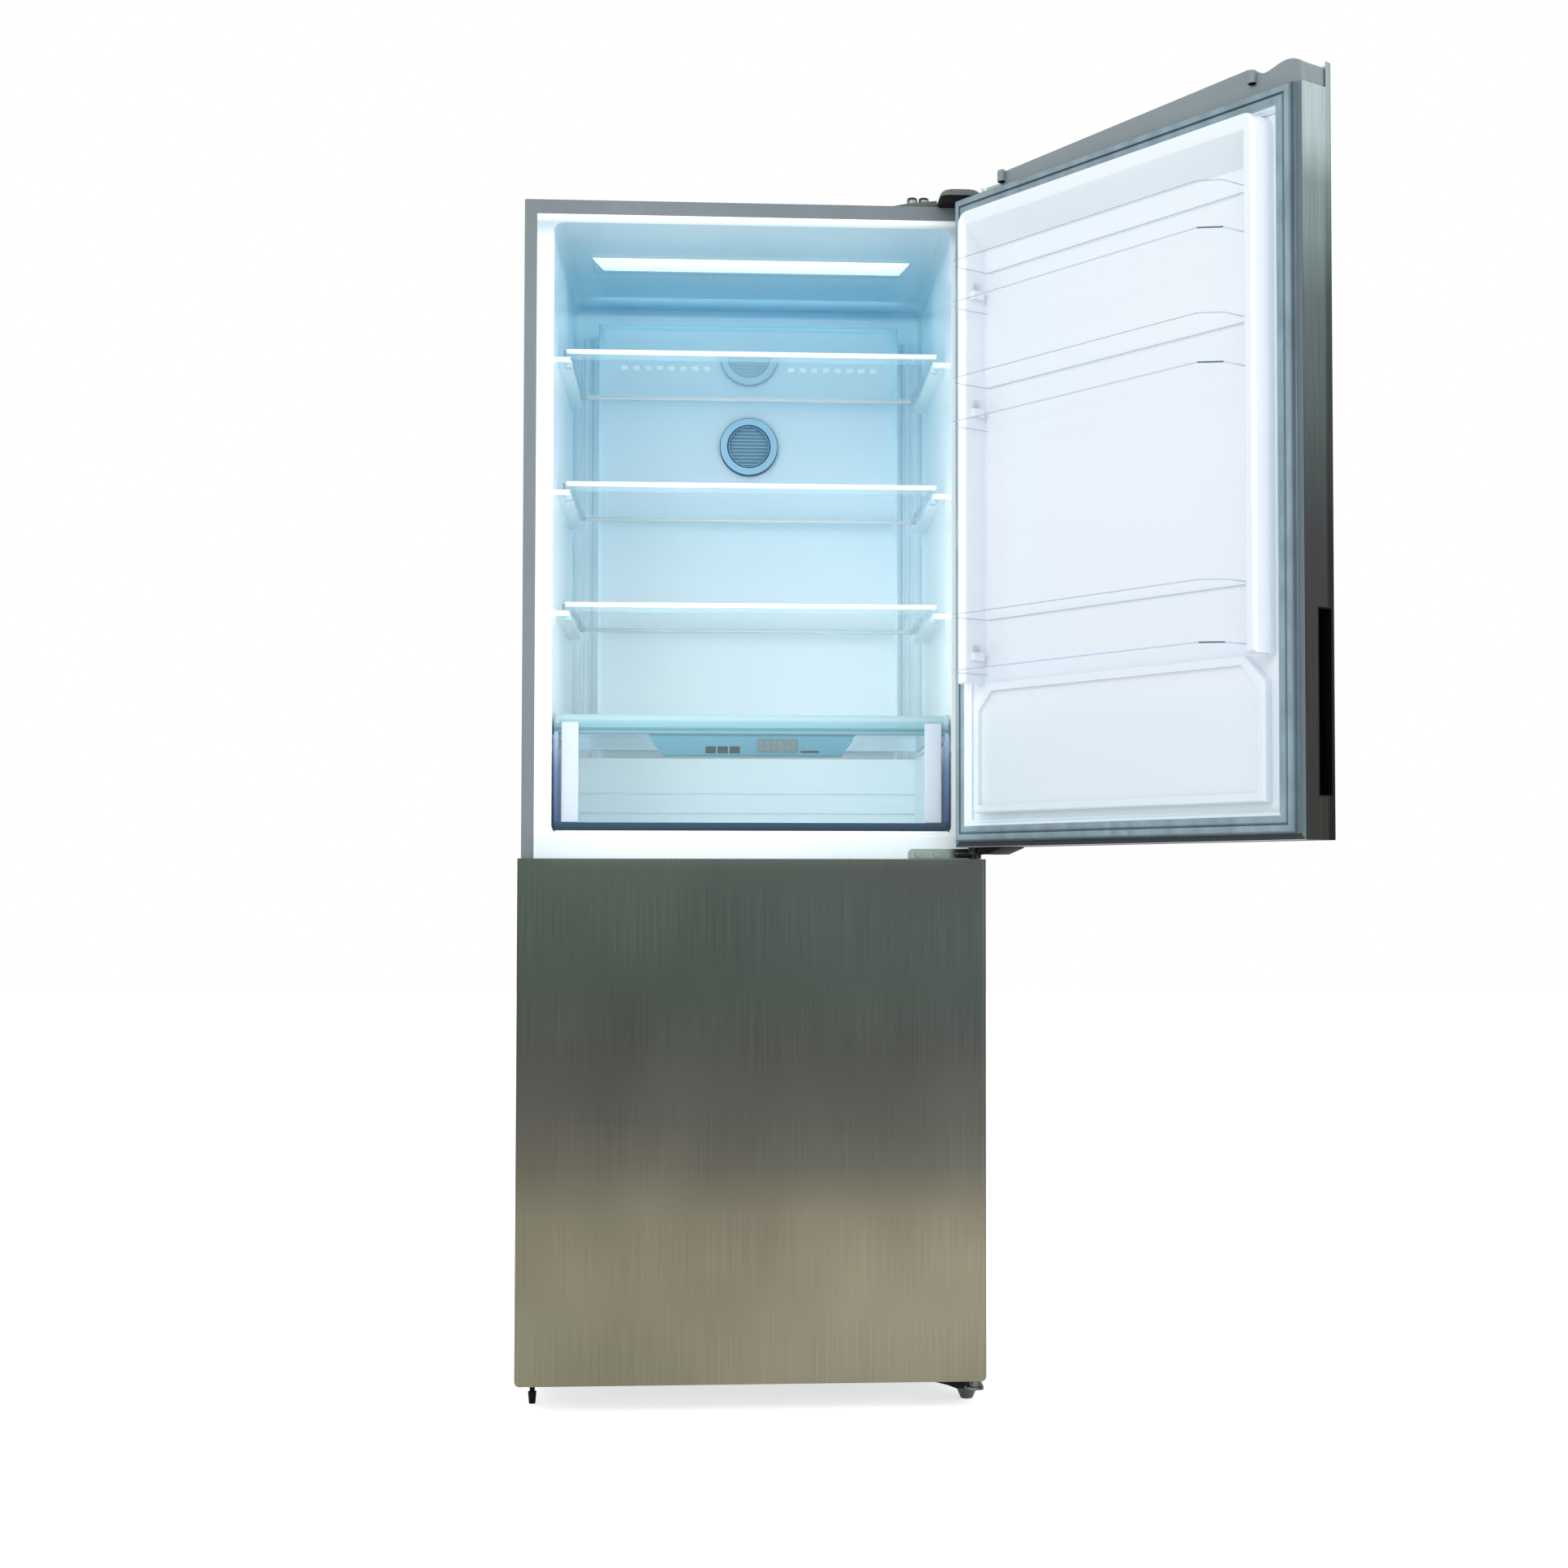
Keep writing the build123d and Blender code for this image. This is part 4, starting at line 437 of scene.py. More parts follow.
# colours at the floor and at the ceiling of the fridge, and the share of plastic
sheets = {
    "thinClear": ("clearPolystyreneWall", "#EAF4FA", "#F0F8FD", 0.015),
    "binRim": ("greyBinRim", "#93A9B8", "#8398A6", 0.55),
    "binBase": ("violetBinBase", "#A9B6DC", "#A5AFD6", 0.55),
    "deepBlueEdge": ("deepBlueClearEdge", "#2C4566", "#2C4566", 0.85),
    "railClear": ("clearShelfRail", "#C9E4F0", "#A9D2E6", 0.22),
}
for key, values in plastics.items():
    finish[key] = mouldedPlastic(*values)
for key, (name, low, high, share) in sheets.items():
    finish[key] = thinClear(name, *linerHeights, ((0.0, low), (1.0, high)), share)
slotFinish = {
    "painted_steel": "painted", "galvanised_steel": "galvanised", "stainless_steel": "freezerSteel",
    "white_liner": "liner", "white_trim": "whiteTrim", "clear_trim": "clearTrim", "clear_plastic": "clear",
    "shelf_glass": "glass", "lamp_acrylic": "lamp", "circuit_board": "board", "grey_plastic": "greyPlastic",
    "black_plastic": "blackPlastic", "black_rubber": "rubber", "black_enamel": "enamel", "door_seal": "seal",
    "zinc_steel": "zinc", "bare_aluminium": "aluminium", "polyurethane_foam": "foam",
}
nodeFinish = {
    "fridge_door_skin": "fridgeSteel", "fridge_door_liner": "doorLiner", "air_duct_panel": "ductPanel",
    "middle_hinge": "leafGrey", "hinge_screws": "leafGrey", "bottom_hinge": "footHinge",
    "fridge_door_bottom_cap": "edgeMoulding", "right_foot": "footGrey", "top_freezer_drawer": "drawerClear",
    "middle_freezer_drawer": "drawerClear", "bottom_freezer_drawer": "drawerClear",
}

for part in frame["record"]["subparts"]:
    name = part["node"]
    wanted = finish[nodeFinish.get(name, slotFinish[part["material_slot"]])]
    for slot in nodes[name].material_slots:
        slot.link = "OBJECT"
        slot.material = wanted
print("materials:", len(finish))


# mesh helpers

def addBlock(bm, low, high):
    # a box between two corners; returns its vertices
    made = bmesh.ops.create_cube(bm, size=1.0)["verts"]
    bmesh.ops.scale(bm, vec=[b - a for a, b in zip(low, high)], verts=made)
    bmesh.ops.translate(bm, vec=[(a + b) / 2 for a, b in zip(low, high)], verts=made)
    return made


def edgesOf(verts):
    return list({edge for vert in verts for edge in vert.link_edges})


def edgesWhere(verts, test):
    # the edges among verts whose two ends both pass the test
    return [edge for edge in edgesOf(verts) if all(test(vert.co) for vert in edge.verts)]


def uprights(verts, front):
    # the upright edges among verts that lie before Y = front
    return [edge for edge in edgesWhere(verts, lambda co: co.y < front)
            if (edge.verts[0].co - edge.verts[1].co).xy.length < 1e-7]


def soften(bm, edges, radius, segments=3):
    bmesh.ops.bevel(bm, geom=edges, offset=radius, segments=segments, profile=0.5, affect="EDGES",
                    material=-1, clamp_overlap=True)


def roundedBlock(bm, low, high, radius, segments=3):
    soften(bm, edgesOf(addBlock(bm, low, high)), radius, segments)


def blockPair(bm, across, deep, tall, radius):
    # the same rounded block to the left and to the right of the middle
    for side in (-1, 1):
        low, high = sorted(side * value for value in across)
        roundedBlock(bm, (low, deep[0], tall[0]), (high, deep[1], tall[1]), radius)


def addOutline(bm, points, axis, level):
    # a flat face with its corners at points, which lie in the two other axes
    verts = []
    for first, second in points:
        co = [first, second]
        co.insert(axis, level)
        verts.append(bm.verts.new(co))
    edges = [bm.edges.new((verts[at - 1], verts[at])) for at in range(len(verts))]
    return bmesh.ops.edgeloop_fill(bm, edges=edges)["faces"][0]


def pushOut(bm, face, offset):
    # extrudes a face along offset and returns the far face
    made = bmesh.ops.extrude_face_region(bm, geom=[face])["geom"]
    bmesh.ops.translate(bm, vec=offset, verts=[item for item in made if isinstance(item, bmesh.types.BMVert)])
    return [item for item in made if isinstance(item, bmesh.types.BMFace)][0]


def addPlate(bm, points, axis, start, end):
    # an outline drawn out along an axis; returns the far face
    offset = [0, 0, 0]
    offset[axis] = end - start
    return pushOut(bm, addOutline(bm, points, axis, start), offset)


def stepIn(bm, face, width, offset=(0, 0, 0)):
    # insets a face by width, moves it by offset and returns the faces round it
    around = bmesh.ops.inset_individual(bm, faces=[face], thickness=width, use_even_offset=True)["faces"]
    bmesh.ops.translate(bm, vec=offset, verts=face.verts)
    return around


def addTurned(bm, centre, profile, axis, steps=32):
    # a turned body: profile is radius and height in mm, along the axis from centre
    turning = Vector([1.0 if at == axis else 0.0 for at in range(3)])
    outward = Vector([1.0 if at == (axis + 1) % 3 else 0.0 for at in range(3)])
    chain = [bm.verts.new(Vector(centre) + outward * radius * mm + turning * height * mm)
             for radius, height in profile]
    edges = [bm.edges.new(pair) for pair in zip(chain, chain[1:])]
    bmesh.ops.spin(bm, geom=chain + edges, cent=centre, axis=turning, dvec=(0, 0, 0), angle=2 * math.pi,
                   steps=steps, use_merge=True)


def addRib(bm, x, wall, r):
    # an upright rib, rounded where it stands out of a wall; proud below 0 is towards the front
    sunk = math.copysign(r["sunk"], r["proud"])
    near, far = sorted((wall - sunk, wall + r["proud"]))
    verts = addBlock(bm, (x - r["half"], near, r["ends"][0]), (x + r["half"], far, r["ends"][1]))
    soften(bm, edgesWhere(verts, lambda co: (co.y - wall) * r["proud"] > 0), abs(r["proud"]) * 0.9, 4)


def paint(bm, index, made=0, test=None):
    # a finish for the faces from number made on, or for those whose middle passes the test
    bm.faces.ensure_lookup_table()
    for face in bm.faces[made:]:
        if test is None or test(face.calc_center_median()):
            face.material_index = index


def addObject(name, data, location=(0, 0, 0)):
    made = bpy.data.objects.new(name, data)
    made.location = location
    bpy.context.scene.collection.objects.link(made)
    return made


def addMesh(bm, name):
    mesh = bpy.data.meshes.new(name)
    bm.to_mesh(mesh)
    bm.free()
    return mesh


def finishPiece(bm, name, body, materials, replaces=(), opened=False, angle=35):
    bmesh.ops.remove_doubles(bm, verts=bm.verts, dist=1e-6)
    bmesh.ops.recalc_face_normals(bm, faces=bm.faces)
    if opened:
        bmesh.ops.transform(bm, matrix=doorTurn, verts=bm.verts)
    mesh = addMesh(bm, name)
    for polygon in mesh.polygons:
        polygon.use_smooth = True
    mesh.set_sharp_from_angle(angle=math.radians(angle))
    for key in materials:
        mesh.materials.append(finish[key])
    piece = addObject(name, mesh)
    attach(piece, body)
    if replaces:
        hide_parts(*replaces)


# light, floor and camera

studio = {
    "floorSize": 30.0,
    "floorColour": "#F4F4F2",
    "floorGlow": 0.6,  # what the camera sees on top of the lit floor
    "worldLevel": 0.85,  # light from all round; the background itself stays white
    "middle": (0.1, 0.0, 1.0),  # where the two large lamps point
    "keyPlace": (-2.6, -4.2, 3.4),
    "keySize": 2.6,
    "keyPower": 65.0,
    "fillPlace": (3.4, -3.6, 2.0),
    "fillSize": 2.4,
    "fillPower": 60.0,
    "openingPlace": (0.0, -0.12, 1.30),  # soft light into the fridge from its front
    "openingSize": (0.62, 0.96),
    "openingPower": 1.1,
    # height and watts of the soft glow in each space; two lamps beside each other
    "glows": ((1.71, 0.03), (1.52, 0.12), (1.31, 0.2), (1.12, 0.3), (0.95, 0.14)),
    "glowRadius": 60 * mm,
    "glowDepth": 100 * mm,
    "glowSide": 130 * mm,
    # place, size and watts of the light in the narrow spaces over and beside the duct panel
    "recesses": (((0, 0.45, 1.775), (0.52, 0.03), 0.07), ((-0.281, 0.45, 1.32), (0.03, 0.84), 0.08),
                 ((0.281, 0.45, 1.32), (0.03, 0.84), 0.08)),
    "lampDepth": 3 * mm,
    "lampPower": 0.25,
    "lampColour": (0.92, 0.98, 1.0),
}


def addLamp(name, location, size, turn, power, colour=(1, 1, 1)):
    # a rectangular soft lamp; turn is its rotation, unturned it shines down
    light = bpy.data.lights.new(name, "AREA")
    light.shape = "RECTANGLE"
    light.size, light.size_y = size
    light.energy = power
    light.color = colour
    lamp = addObject(name, light, location)
    lamp.rotation_euler = turn
    return lamp


def seenShare(tree):
    # 1 for what the camera sees, straight, in a reflection or through glass, else 0
    path = addNode(tree, "LightPath")
    share = path.outputs["Is Camera Ray"]
    for ray in ("Is Glossy Ray", "Is Transmission Ray"):
        share = addNode(tree, "Math", links={0: share, 1: path.outputs[ray]}, operation="MAXIMUM").outputs[0]
    return share


def buildStudio(s):
    bm = bmesh.new()
    bmesh.ops.create_grid(bm, x_segments=1, y_segments=1, size=s["floorSize"] / 2)
    floor = addObject("studioFloor", addMesh(bm, "studioFloor"))
    material, tree, shader = startMaterial("paleStudioFloor", {
        "Base Color": linear(s["floorColour"]), "Roughness": 0.9, "Emission Color": (1, 1, 1, 1)})
    glow = addNode(tree, "Math", {1: s["floorGlow"]}, {0: seenShare(tree)}, operation="MULTIPLY")
    feed(tree, shader, {"Emission Strength": glow.outputs[0]})
    floor.data.materials.append(material)

    world = bpy.data.worlds.new("studioWorld")
    bpy.context.scene.world = world
    world.use_nodes = True
    tree = world.node_tree
    tree.nodes.clear()
    level = span(tree, seenShare(tree), 0, 1, s["worldLevel"], 1.0)
    sky = addNode(tree, "Background", {"Color": (1, 1, 1, 1)}, {"Strength": level})
    addNode(tree, "OutputWorld", links={"Surface": sky.outputs[0]})

    for name in ("key", "fill"):
        location = Vector(s[name + "Place"])
        turn = (Vector(s["middle"]) - location).to_track_quat("-Z", "Y").to_euler()
        addLamp(name, location, (s[name + "Size"], s[name + "Size"]), turn, s[name + "Power"])

    toRear = (math.pi / 2, 0, 0)
    addLamp("openingFill", s["openingPlace"], s["openingSize"], toRear, s["openingPower"])
    for location, size, power in s["recesses"]:
        lamp = addLamp("recessGlow", location, size, toRear, power, s["lampColour"])
        lamp.visible_glossy = False

    for number, (level, power) in enumerate(s["glows"]):
        light = bpy.data.lights.new("shelfGlow%d" % number, "POINT")
        light.shadow_soft_size = s["glowRadius"]
        light.energy = power
        light.color = s["lampColour"]
        for side in (-1, 1):
            lamp = addObject(light.name, light, (side * s["glowSide"], s["glowDepth"], level))
            lamp.visible_glossy = False     # no round glints on the glossy liner

    low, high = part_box("lamp_diffuser")
    addLamp("ceilingLamp", ((low.x + high.x) / 2, (low.y + high.y) / 2, low.z - s["lampDepth"]),
            (high.x - low.x, high.y - low.y), (0, 0, 0), s["lampPower"], s["lampColour"])


viewpoint = {
    "place": (-0.0621, -3.6027, 0.7719),
    "pitch": 2.186,  # degrees up
    "yaw": 3.754,  # degrees to the right
    "roll": -0.038, "photoSide": 1932,
    "focal": 2910.4,  # in the photo's pixels, as the two below
    "centreAcross": 1067.6, "centreDown": 988.5, "sensor": 36.0, "farthest": 100,
}


def buildCamera(v):
    data = bpy.data.cameras.new("photoCamera")
    data.sensor_fit = "HORIZONTAL"
    data.sensor_width = v["sensor"]
    data.lens = v["focal"] / v["photoSide"] * v["sensor"]
    data.shift_x = (v["photoSide"] / 2 - v["centreAcross"]) / v["photoSide"]
    data.shift_y = (v["centreDown"] - v["photoSide"] / 2) / v["photoSide"]
    data.clip_end = v["farthest"]
    camera = addObject("photoCamera", data, v["place"])
    camera.rotation_euler = [math.radians(a) for a in (90 + v["pitch"], v["roll"], -v["yaw"])]
    bpy.context.scene.camera = camera


buildStudio(studio)
buildCamera(viewpoint)
bpy.context.scene.view_settings.view_transform = "Standard"
print("studio and camera")


# door seals and door edges

seal = {
    "half": 340 * mm,  # outer edge, from the middle of the door
    "plane": -12 * mm,  # door liner, where the foot lies
    # in from the outer edge and out from the liner, in mm, and the colour of the stretch that follows: 0 the
    # seal's vinyl, 1 its painted shade, 2 a darker painted shade in the fold, 3 a painted highlight on the lip, 4
    # the door liner's white
    "profile": ((0, 0, 1), (0, 4, 2), (1.5, 5, 2), (2, 9.5, 1), (3.5, 11.4, 0), (11, 11.4, 2),
                (12, 9.6, 2), (13.5, 9.6, 1), (15, 11.6, 0), (23.5, 11.6, 3), (25, 10.4, 3),
                (26.5, 10.4, 4), (28, 8, 4), (30, 5, 4), (32, 4, 4), (32, 0, 4)),
    "paintedLinerWhite": (23.6 * mm, 33 * mm),  # painted in the door liner's white below and beside the hinge: painted light over the seal's shaded inner lips
    "edgeIn": 0.5 * mm,  # dark edge moulding outside the seal, in from the door's side
    "edgeOut": 0.05 * mm,  # and out from the liner
    "edgeProfile": ((0, 0, 0), (0, 0.55, 0), (11, 0.55, 0), (11, 0, 0)),
}


def addRing(bm, half, low, high, plane, profile):
    # a frame round the door: its outer edge is half, low and high; profile holds how far in
    # and how far out each point is, in mm, and the colour of the stretch that follows it
    corners = ((-half, low), (half, low), (half, high), (-half, high))
    face = addOutline(bm, corners, 1, plane)
    for (inward, out, shade), (nextIn, nextOut, after) in zip(profile, profile[1:]):
        for made in stepIn(bm, face, (nextIn - inward) * mm, (0, (nextOut - out) * mm, 0)):
            made.material_index = shade
    foot = addOutline(bm, corners, 1, plane)
    stepIn(bm, foot, profile[-1][0] * mm)
    bmesh.ops.delete(bm, geom=[face, foot], context="FACES_ONLY")


def buildSeal(word, s, opened):
    name = word + "_door_gasket"
    low, high = place(name, 2, 0), place(name, 2, 1)
    bm = bmesh.new()
    addRing(bm, s["half"], low, high, s["plane"], s["profile"])
    start, end = s["paintedLinerWhite"]
    # the inner stretches below and beside the hinge are painted in the door liner's white, as painted light over
    # their shade
    paint(bm, 4, test=lambda middle: start < min(s["half"] - middle.x, middle.z - low) < end)
    finishPiece(bm, word + "DoorSeal", word + "_door",
                ("seal", "sealShade", "sealPaintedFoldShade", "sealPaintedHighlight", "doorLiner"), (name,), opened, angle=60)

    # the moulding that closes the door's edge outside the seal: a dark strip, partly its own grey and partly
    # painted shade of the gap at the door's edge, darker still along the bottom
    bottom, top = doorHeights[word]
    bm = bmesh.new()
    addRing(bm, cabinet["half"] - s["edgeIn"], bottom + s["edgeIn"], high if opened else top - s["edgeIn"],
            s["plane"] + s["edgeOut"], s["edgeProfile"])
    paint(bm, 1, test=lambda middle: middle.z < low)
    finishPiece(bm, word + "DoorEdgeMoulding", word + "_door", ("edgeSide", "edgeMoulding"),
                opened=opened)


buildSeal("fridge", seal, True)
buildSeal("freezer", seal, False)
print("door seals")


# door bins

doorBin = {
    "half": 272 * mm, "back": -9 * mm, "front": 78 * mm, "cut": 24 * mm, "wall": 2.5 * mm,
    "rim": 1.8 * mm,  # height of the darker lines that the clear edges show
    "base": 2.4 * mm, "hook": (5 * mm, 20 * mm, 12 * mm), "hookBack": 5 * mm, "hookLift": 34.3 * mm,
}


def buildBin(name, b):
    # an open tray of one thin sheet, so that what lies behind its clear walls stays bright
    low, high = place(name, 2, 0), place(name, 2, 1)
    x, back, front, cut = b["half"], b["back"], b["front"], b["cut"]
    outline = [(-x, back), (x, back), (x, front - cut), (x - cut, front), (cut - x, front), (-x, front - cut)]
    bm = bmesh.new()
    lid = addPlate(bm, outline, 2, low, high)
    bmesh.ops.delete(bm, geom=[lid], context="FACES_ONLY")
    addOutline(bm, outline, 2, low)
    for level in (low + b["base"], high - b["rim"]):
        bmesh.ops.bisect_plane(bm, geom=bm.verts[:] + bm.edges[:] + bm.faces[:], plane_co=(0, 0, level),
                               plane_no=(0, 0, 1))
    for face in bm.faces:
        middle = face.calc_center_median()
        atCut = middle.x < cut - x and middle.y > front - cut
        if middle.z > high - b["rim"]:
            face.material_index = 1
        elif middle.z < low + b["base"] and abs(face.normal.z) < 0.5 and middle.y > back + b["wall"]:
            face.material_index = 3 if atCut else 2
    width, depth, height = b["hook"]
    near, bottom = back + b["hookBack"], low + b["hookLift"]
    blockPair(bm, (x - b["wall"], x + width), (near, near + depth), (bottom, bottom + height), 1.5 * mm)
    finishPiece(bm, name + "_moulding", name,
                ("thinClear", "binRim", "binBase", "deepBlueEdge"), (name,), True)


for word in ("top", "middle", "bottom"):
    buildBin(word + "_door_bin", doorBin)
print("door bins")


# door top cap

topCap = {
    "half": 349 * mm, "face": -71 * mm, "back": -12 * mm, "wall": 12 * mm,
    "start": 245 * mm,  # the raised wall begins here, by the hinge
    "low": 1826 * mm, "rest": 1829 * mm, "flat": 1841 * mm, "wallStart": 1849 * mm,
    "wallEnd": 1866 * mm,
    "stepAt": -254 * mm,  # beside the second nub
    "dipAt": -284 * mm, "dip": 1854 * mm, "humpAt": -322 * mm, "hump": 1861 * mm, "end": 1846 * mm,
    "steps": 8,  # of each curve
    "round": 3 * mm, "corner": 6.5 * mm,
    "bridge": (347 * mm, -69 * mm), # free end and front of the hump, inside the rounded steel
    "bridgeDrop": 1 * mm, "nub": (12 * mm, 8 * mm, 20 * mm),
    "nubFoot": 2 * mm,  # in the wall, and the height of its dark shade
    "nubLift": 2 * mm,
}


def easeBetween(start, end, steps):
    # a soft S between two points (x, z)
    return [(start[0] + (end[0] - start[0]) * at / steps,
             start[1] + (end[1] - start[1]) * (1 - math.cos(math.pi * at / steps)) / 2)
            for at in range(1, steps + 1)]


def crestPoints(c):
    points = [(c["start"], c["wallStart"]), (c["stepAt"], c["wallEnd"])]
    for at, level in ((c["dipAt"], c["dip"]), (c["humpAt"], c["hump"])):
        points += easeBetween(points[-1], (at, level), c["steps"])
    for at in range(1, c["steps"] + 1):
        turn = math.pi / 2 * at / c["steps"]
        points.append((c["humpAt"] - (c["humpAt"] + c["half"]) * math.sin(turn),
                       c["end"] + (c["hump"] - c["end"]) * math.cos(turn)))
    return points


def buildTopCap(c):
    bm = bmesh.new()
    crest = crestPoints(c)
    rest = [(c["half"], c["low"]), (c["half"], c["rest"]), (c["start"], c["rest"])]
    behind = c["back"] - c["wall"]
    addPlate(bm, rest + crest + [(-c["half"], c["low"])], 1, c["back"], behind)
    tops = [edge for edge in edgesWhere(bm.verts, lambda co: co.z > c["rest"] + 1 * mm)
            if abs(edge.verts[0].co.y - edge.verts[1].co.y) < 1e-6]
    soften(bm, tops, c["round"])
    # the flat behind the wall and the hump that crosses to the steel at the free end
    flat = rest + [(c["start"], c["flat"]), (c["dipAt"], c["flat"]), (c["dipAt"], c["low"])]
    addPlate(bm, flat, 1, behind, c["face"])
    soften(bm, edgesWhere(bm.verts, lambda co: abs(abs(co.x) - c["half"]) < 1e-6
                          and abs(co.y - c["face"]) < 1e-6), c["corner"], 5)
    end, near = c["bridge"]
    hump = [(max(x, -end), z - c["bridgeDrop"]) for x, z in crest if x <= c["dipAt"]]
    addPlate(bm, [(c["dipAt"], c["low"])] + hump + [(-end, c["low"])], 1, behind, near)
    width, depth, height = c["nub"]
    for x, bottom in ((c["start"], c["rest"] + c["nubLift"]), (c["stepAt"] - width / 2, c["flat"])):
        made = len(bm.faces)
        roundedBlock(bm, (x - width, c["back"] - c["nubFoot"], bottom),
                     (x, c["back"] + depth, bottom + height), 3.5 * mm, 4)
        # the lowest part of each nub is painted black: painted shade under it
        paint(bm, 1, made, lambda middle: middle.z < bottom + c["nubFoot"])
    finishPiece(bm, "doorTopCap", "fridge_door", ("greyPlastic", "blackPlastic"),
                ("fridge_door_top_cap",), True)


buildTopCap(topCap)
print("door top cap")


# ceiling lamp and sills

ceilingLamp = {
    "rim": 1.5 * mm,  # the frame lies this far above the lens
    "lensFront": 2 * mm, "lensDepth": 72 * mm,
    "taper": (15 * mm, 12 * mm),  # the lens is shorter at its rear, left and right
}
sills = {
    # two corners and the rounding in mm, then slot and finish: the liner's lip under the crisper,
    # the sheet under the freezer's opening
    "crisperSill": ((-300, 2, 860), (300, 9, 865.6), 1.5, "white_liner", "liner"),
    "freezerSill": ((-348.8, 0.1, 30.6), (348.8, 1.4, 60.4), 0.4, "painted_steel", "painted"),
}
footWedge = {
    "outline": ((266, 43.4), (318, 43.4), (318, 31), (306, 31.5), (292, 37)),  # X and Z in mm
    "depth": (-62 * mm, -44 * mm),
}


def buildLamp(c):
    low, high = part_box("lamp_diffuser")
    front = low.y + c["lensFront"]
    back = front + c["lensDepth"]
    left, right = c["taper"]
    bm = bmesh.new()
    addPlate(bm, [(low.x, front), (high.x, front), (high.x - right, back), (low.x + left, back)],
             2, low.z, high.z)
    soften(bm, edgesOf(bm.verts), 1 * mm, 2)
    made = len(bm.faces)
    roundedBlock(bm, (low.x, low.y, low.z + c["rim"]), high, 0.8 * mm)
    paint(bm, 1, made)
    finishPiece(bm, "ceilingLampLens", "cabinet", ("lamp", "liner"), ("lamp_diffuser",))


def buildSills(parts, wedge):
    for name, (low, high, radius, slotName, key) in parts.items():
        bm = bmesh.new()
        roundedBlock(bm, [value * mm for value in low], [value * mm for value in high], radius * mm)
        finishPiece(bm, name, "cabinet", (key,))
    # a black wedge beside the right foot: partly the bottom hinge's leg and partly painted shadow
    bm = bmesh.new()
    addPlate(bm, [(x * mm, z * mm) for x, z in wedge["outline"]], 1, *wedge["depth"])
    soften(bm, edgesOf(bm.verts), 1.2 * mm, 2)
    finishPiece(bm, "darkFootWedge", "cabinet", ("blackPlastic",))


buildLamp(ceilingLamp)
buildSills(sills, footWedge)
print("lamp and sills")


# shelves

glassShelf = {
    "upstand": 12 * mm,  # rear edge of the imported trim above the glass
    "barDepth": 10 * mm, "barBelow": 4.5 * mm, "barAbove": 3 * mm, "lipIn": 1 * mm,
    "lipDepth": 14 * mm, "lipBelow": 12 * mm, "rearDepth": 10 * mm, "rearBelow": 7 * mm,
    "rearAbove": 4 * mm, "side": 14 * mm, "sideBelow": 9 * mm, "glass": 4 * mm,
    "seam": 0.2 * mm,  # between two of its strips
}
shelfRest = {
    "width": 11 * mm, "depth": 20 * mm, "height": 13 * mm,
    "gap": 9 * mm,  # inner edge, in from the shelf's end
    "drop": 13.5 * mm,  # top below the shelf's top
    "clip": (2.4 * mm, 8 * mm, 9 * mm), "clipGap": 1.5 * mm,
}


def buildShelf(word, s, r):
    low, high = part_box(word + "_shelf_trim")
    level = high.z - s["upstand"]
    half, front, back = high.x, low.y, high.y
    lipBack, rear = front + s["lipDepth"], back - s["rearDepth"]
    bm = bmesh.new()
    roundedBlock(bm, (-half, front, level - s["barBelow"]),
                 (half, front + s["barDepth"], level + s["barAbove"]), 2 * mm)
    made = len(bm.faces)
    roundedBlock(bm, (-half + s["lipIn"], front + s["lipIn"], level - s["lipBelow"]),
                 (half - s["lipIn"], lipBack, level - s["barBelow"] - s["seam"] / 2), 1.5 * mm)
    blockPair(bm, (half - s["side"], half), (lipBack + s["seam"], rear - s["seam"]),
              (level - s["sideBelow"], level - s["glass"] - s["seam"]), 1 * mm)
    paint(bm, 1, made)
    made = len(bm.faces)
    roundedBlock(bm, (-half, rear, level - s["rearBelow"]), (half, back, level + s["rearAbove"]), 2 * mm)
    paint(bm, 2, made)
    finishPiece(bm, word + "ShelfTrim", word + "_shelf",
                ("shelfFront", "railClear", "clearTrim"), (word + "_shelf_trim",))

    inner, top = half - r["gap"], level - r["drop"]
    bm = bmesh.new()
    blockPair(bm, (inner, inner + r["width"]), (front, front + r["depth"]), (top - r["height"], top), 3 * mm)
    finishPiece(bm, word + "ShelfRests", "cabinet", ("restBlue",))
    bm = bmesh.new()
    width, depth, height = r["clip"]
    side = -half - r["clipGap"]
    roundedBlock(bm, (side - width, front, level - height), (side, front + depth, level), 0.8 * mm)
    finishPiece(bm, word + "ShelfClip", "cabinet", ("greyPlastic",))


for word in ("top", "middle", "bottom"):
    buildShelf(word, glassShelf, shelfRest)
print("shelves")


# crisper

crisper = {
    "half": 302 * mm, "corner": 9 * mm, "panel": 4 * mm,
    "edge": 6.5 * mm,  # dark edge of the clear front, sides
    "bottom": 12 * mm, "edgeDepth": 9 * mm,
    "edgeDrop": 24 * mm,  # the dark sides end this far below the top
    "seam": 0.1 * mm,
    "cheek": (265 * mm, 291 * mm),  # white bands inside the front
    "cheekDepth": 7 * mm, "cheekLift": 12 * mm, "cheekDrop": 8 * mm, "tubHalf": 288 * mm,
    "tubFront": 7.5 * mm,  # behind the front of the cheeks
    "tubTop": 1000 * mm, "wall": 2.5 * mm, "rib": 3 * mm, "ribSunk": 0.3 * mm,
    "ribLevels": (0.3, 0.55),
}


def roundedU(half, low, top, corner, steps=6):
    # from the left top down round the two lower corners to the right top, in X and Z
    points = [(-half, top)]
    for side, start in ((-1, math.pi), (1, 1.5 * math.pi)):
        for at in range(steps + 1):
            turn = start + math.pi / 2 * at / steps
            points.append((side * (half - corner) + corner * math.cos(turn),
                           low + corner + corner * math.sin(turn)))
    return points + [(half, top)]


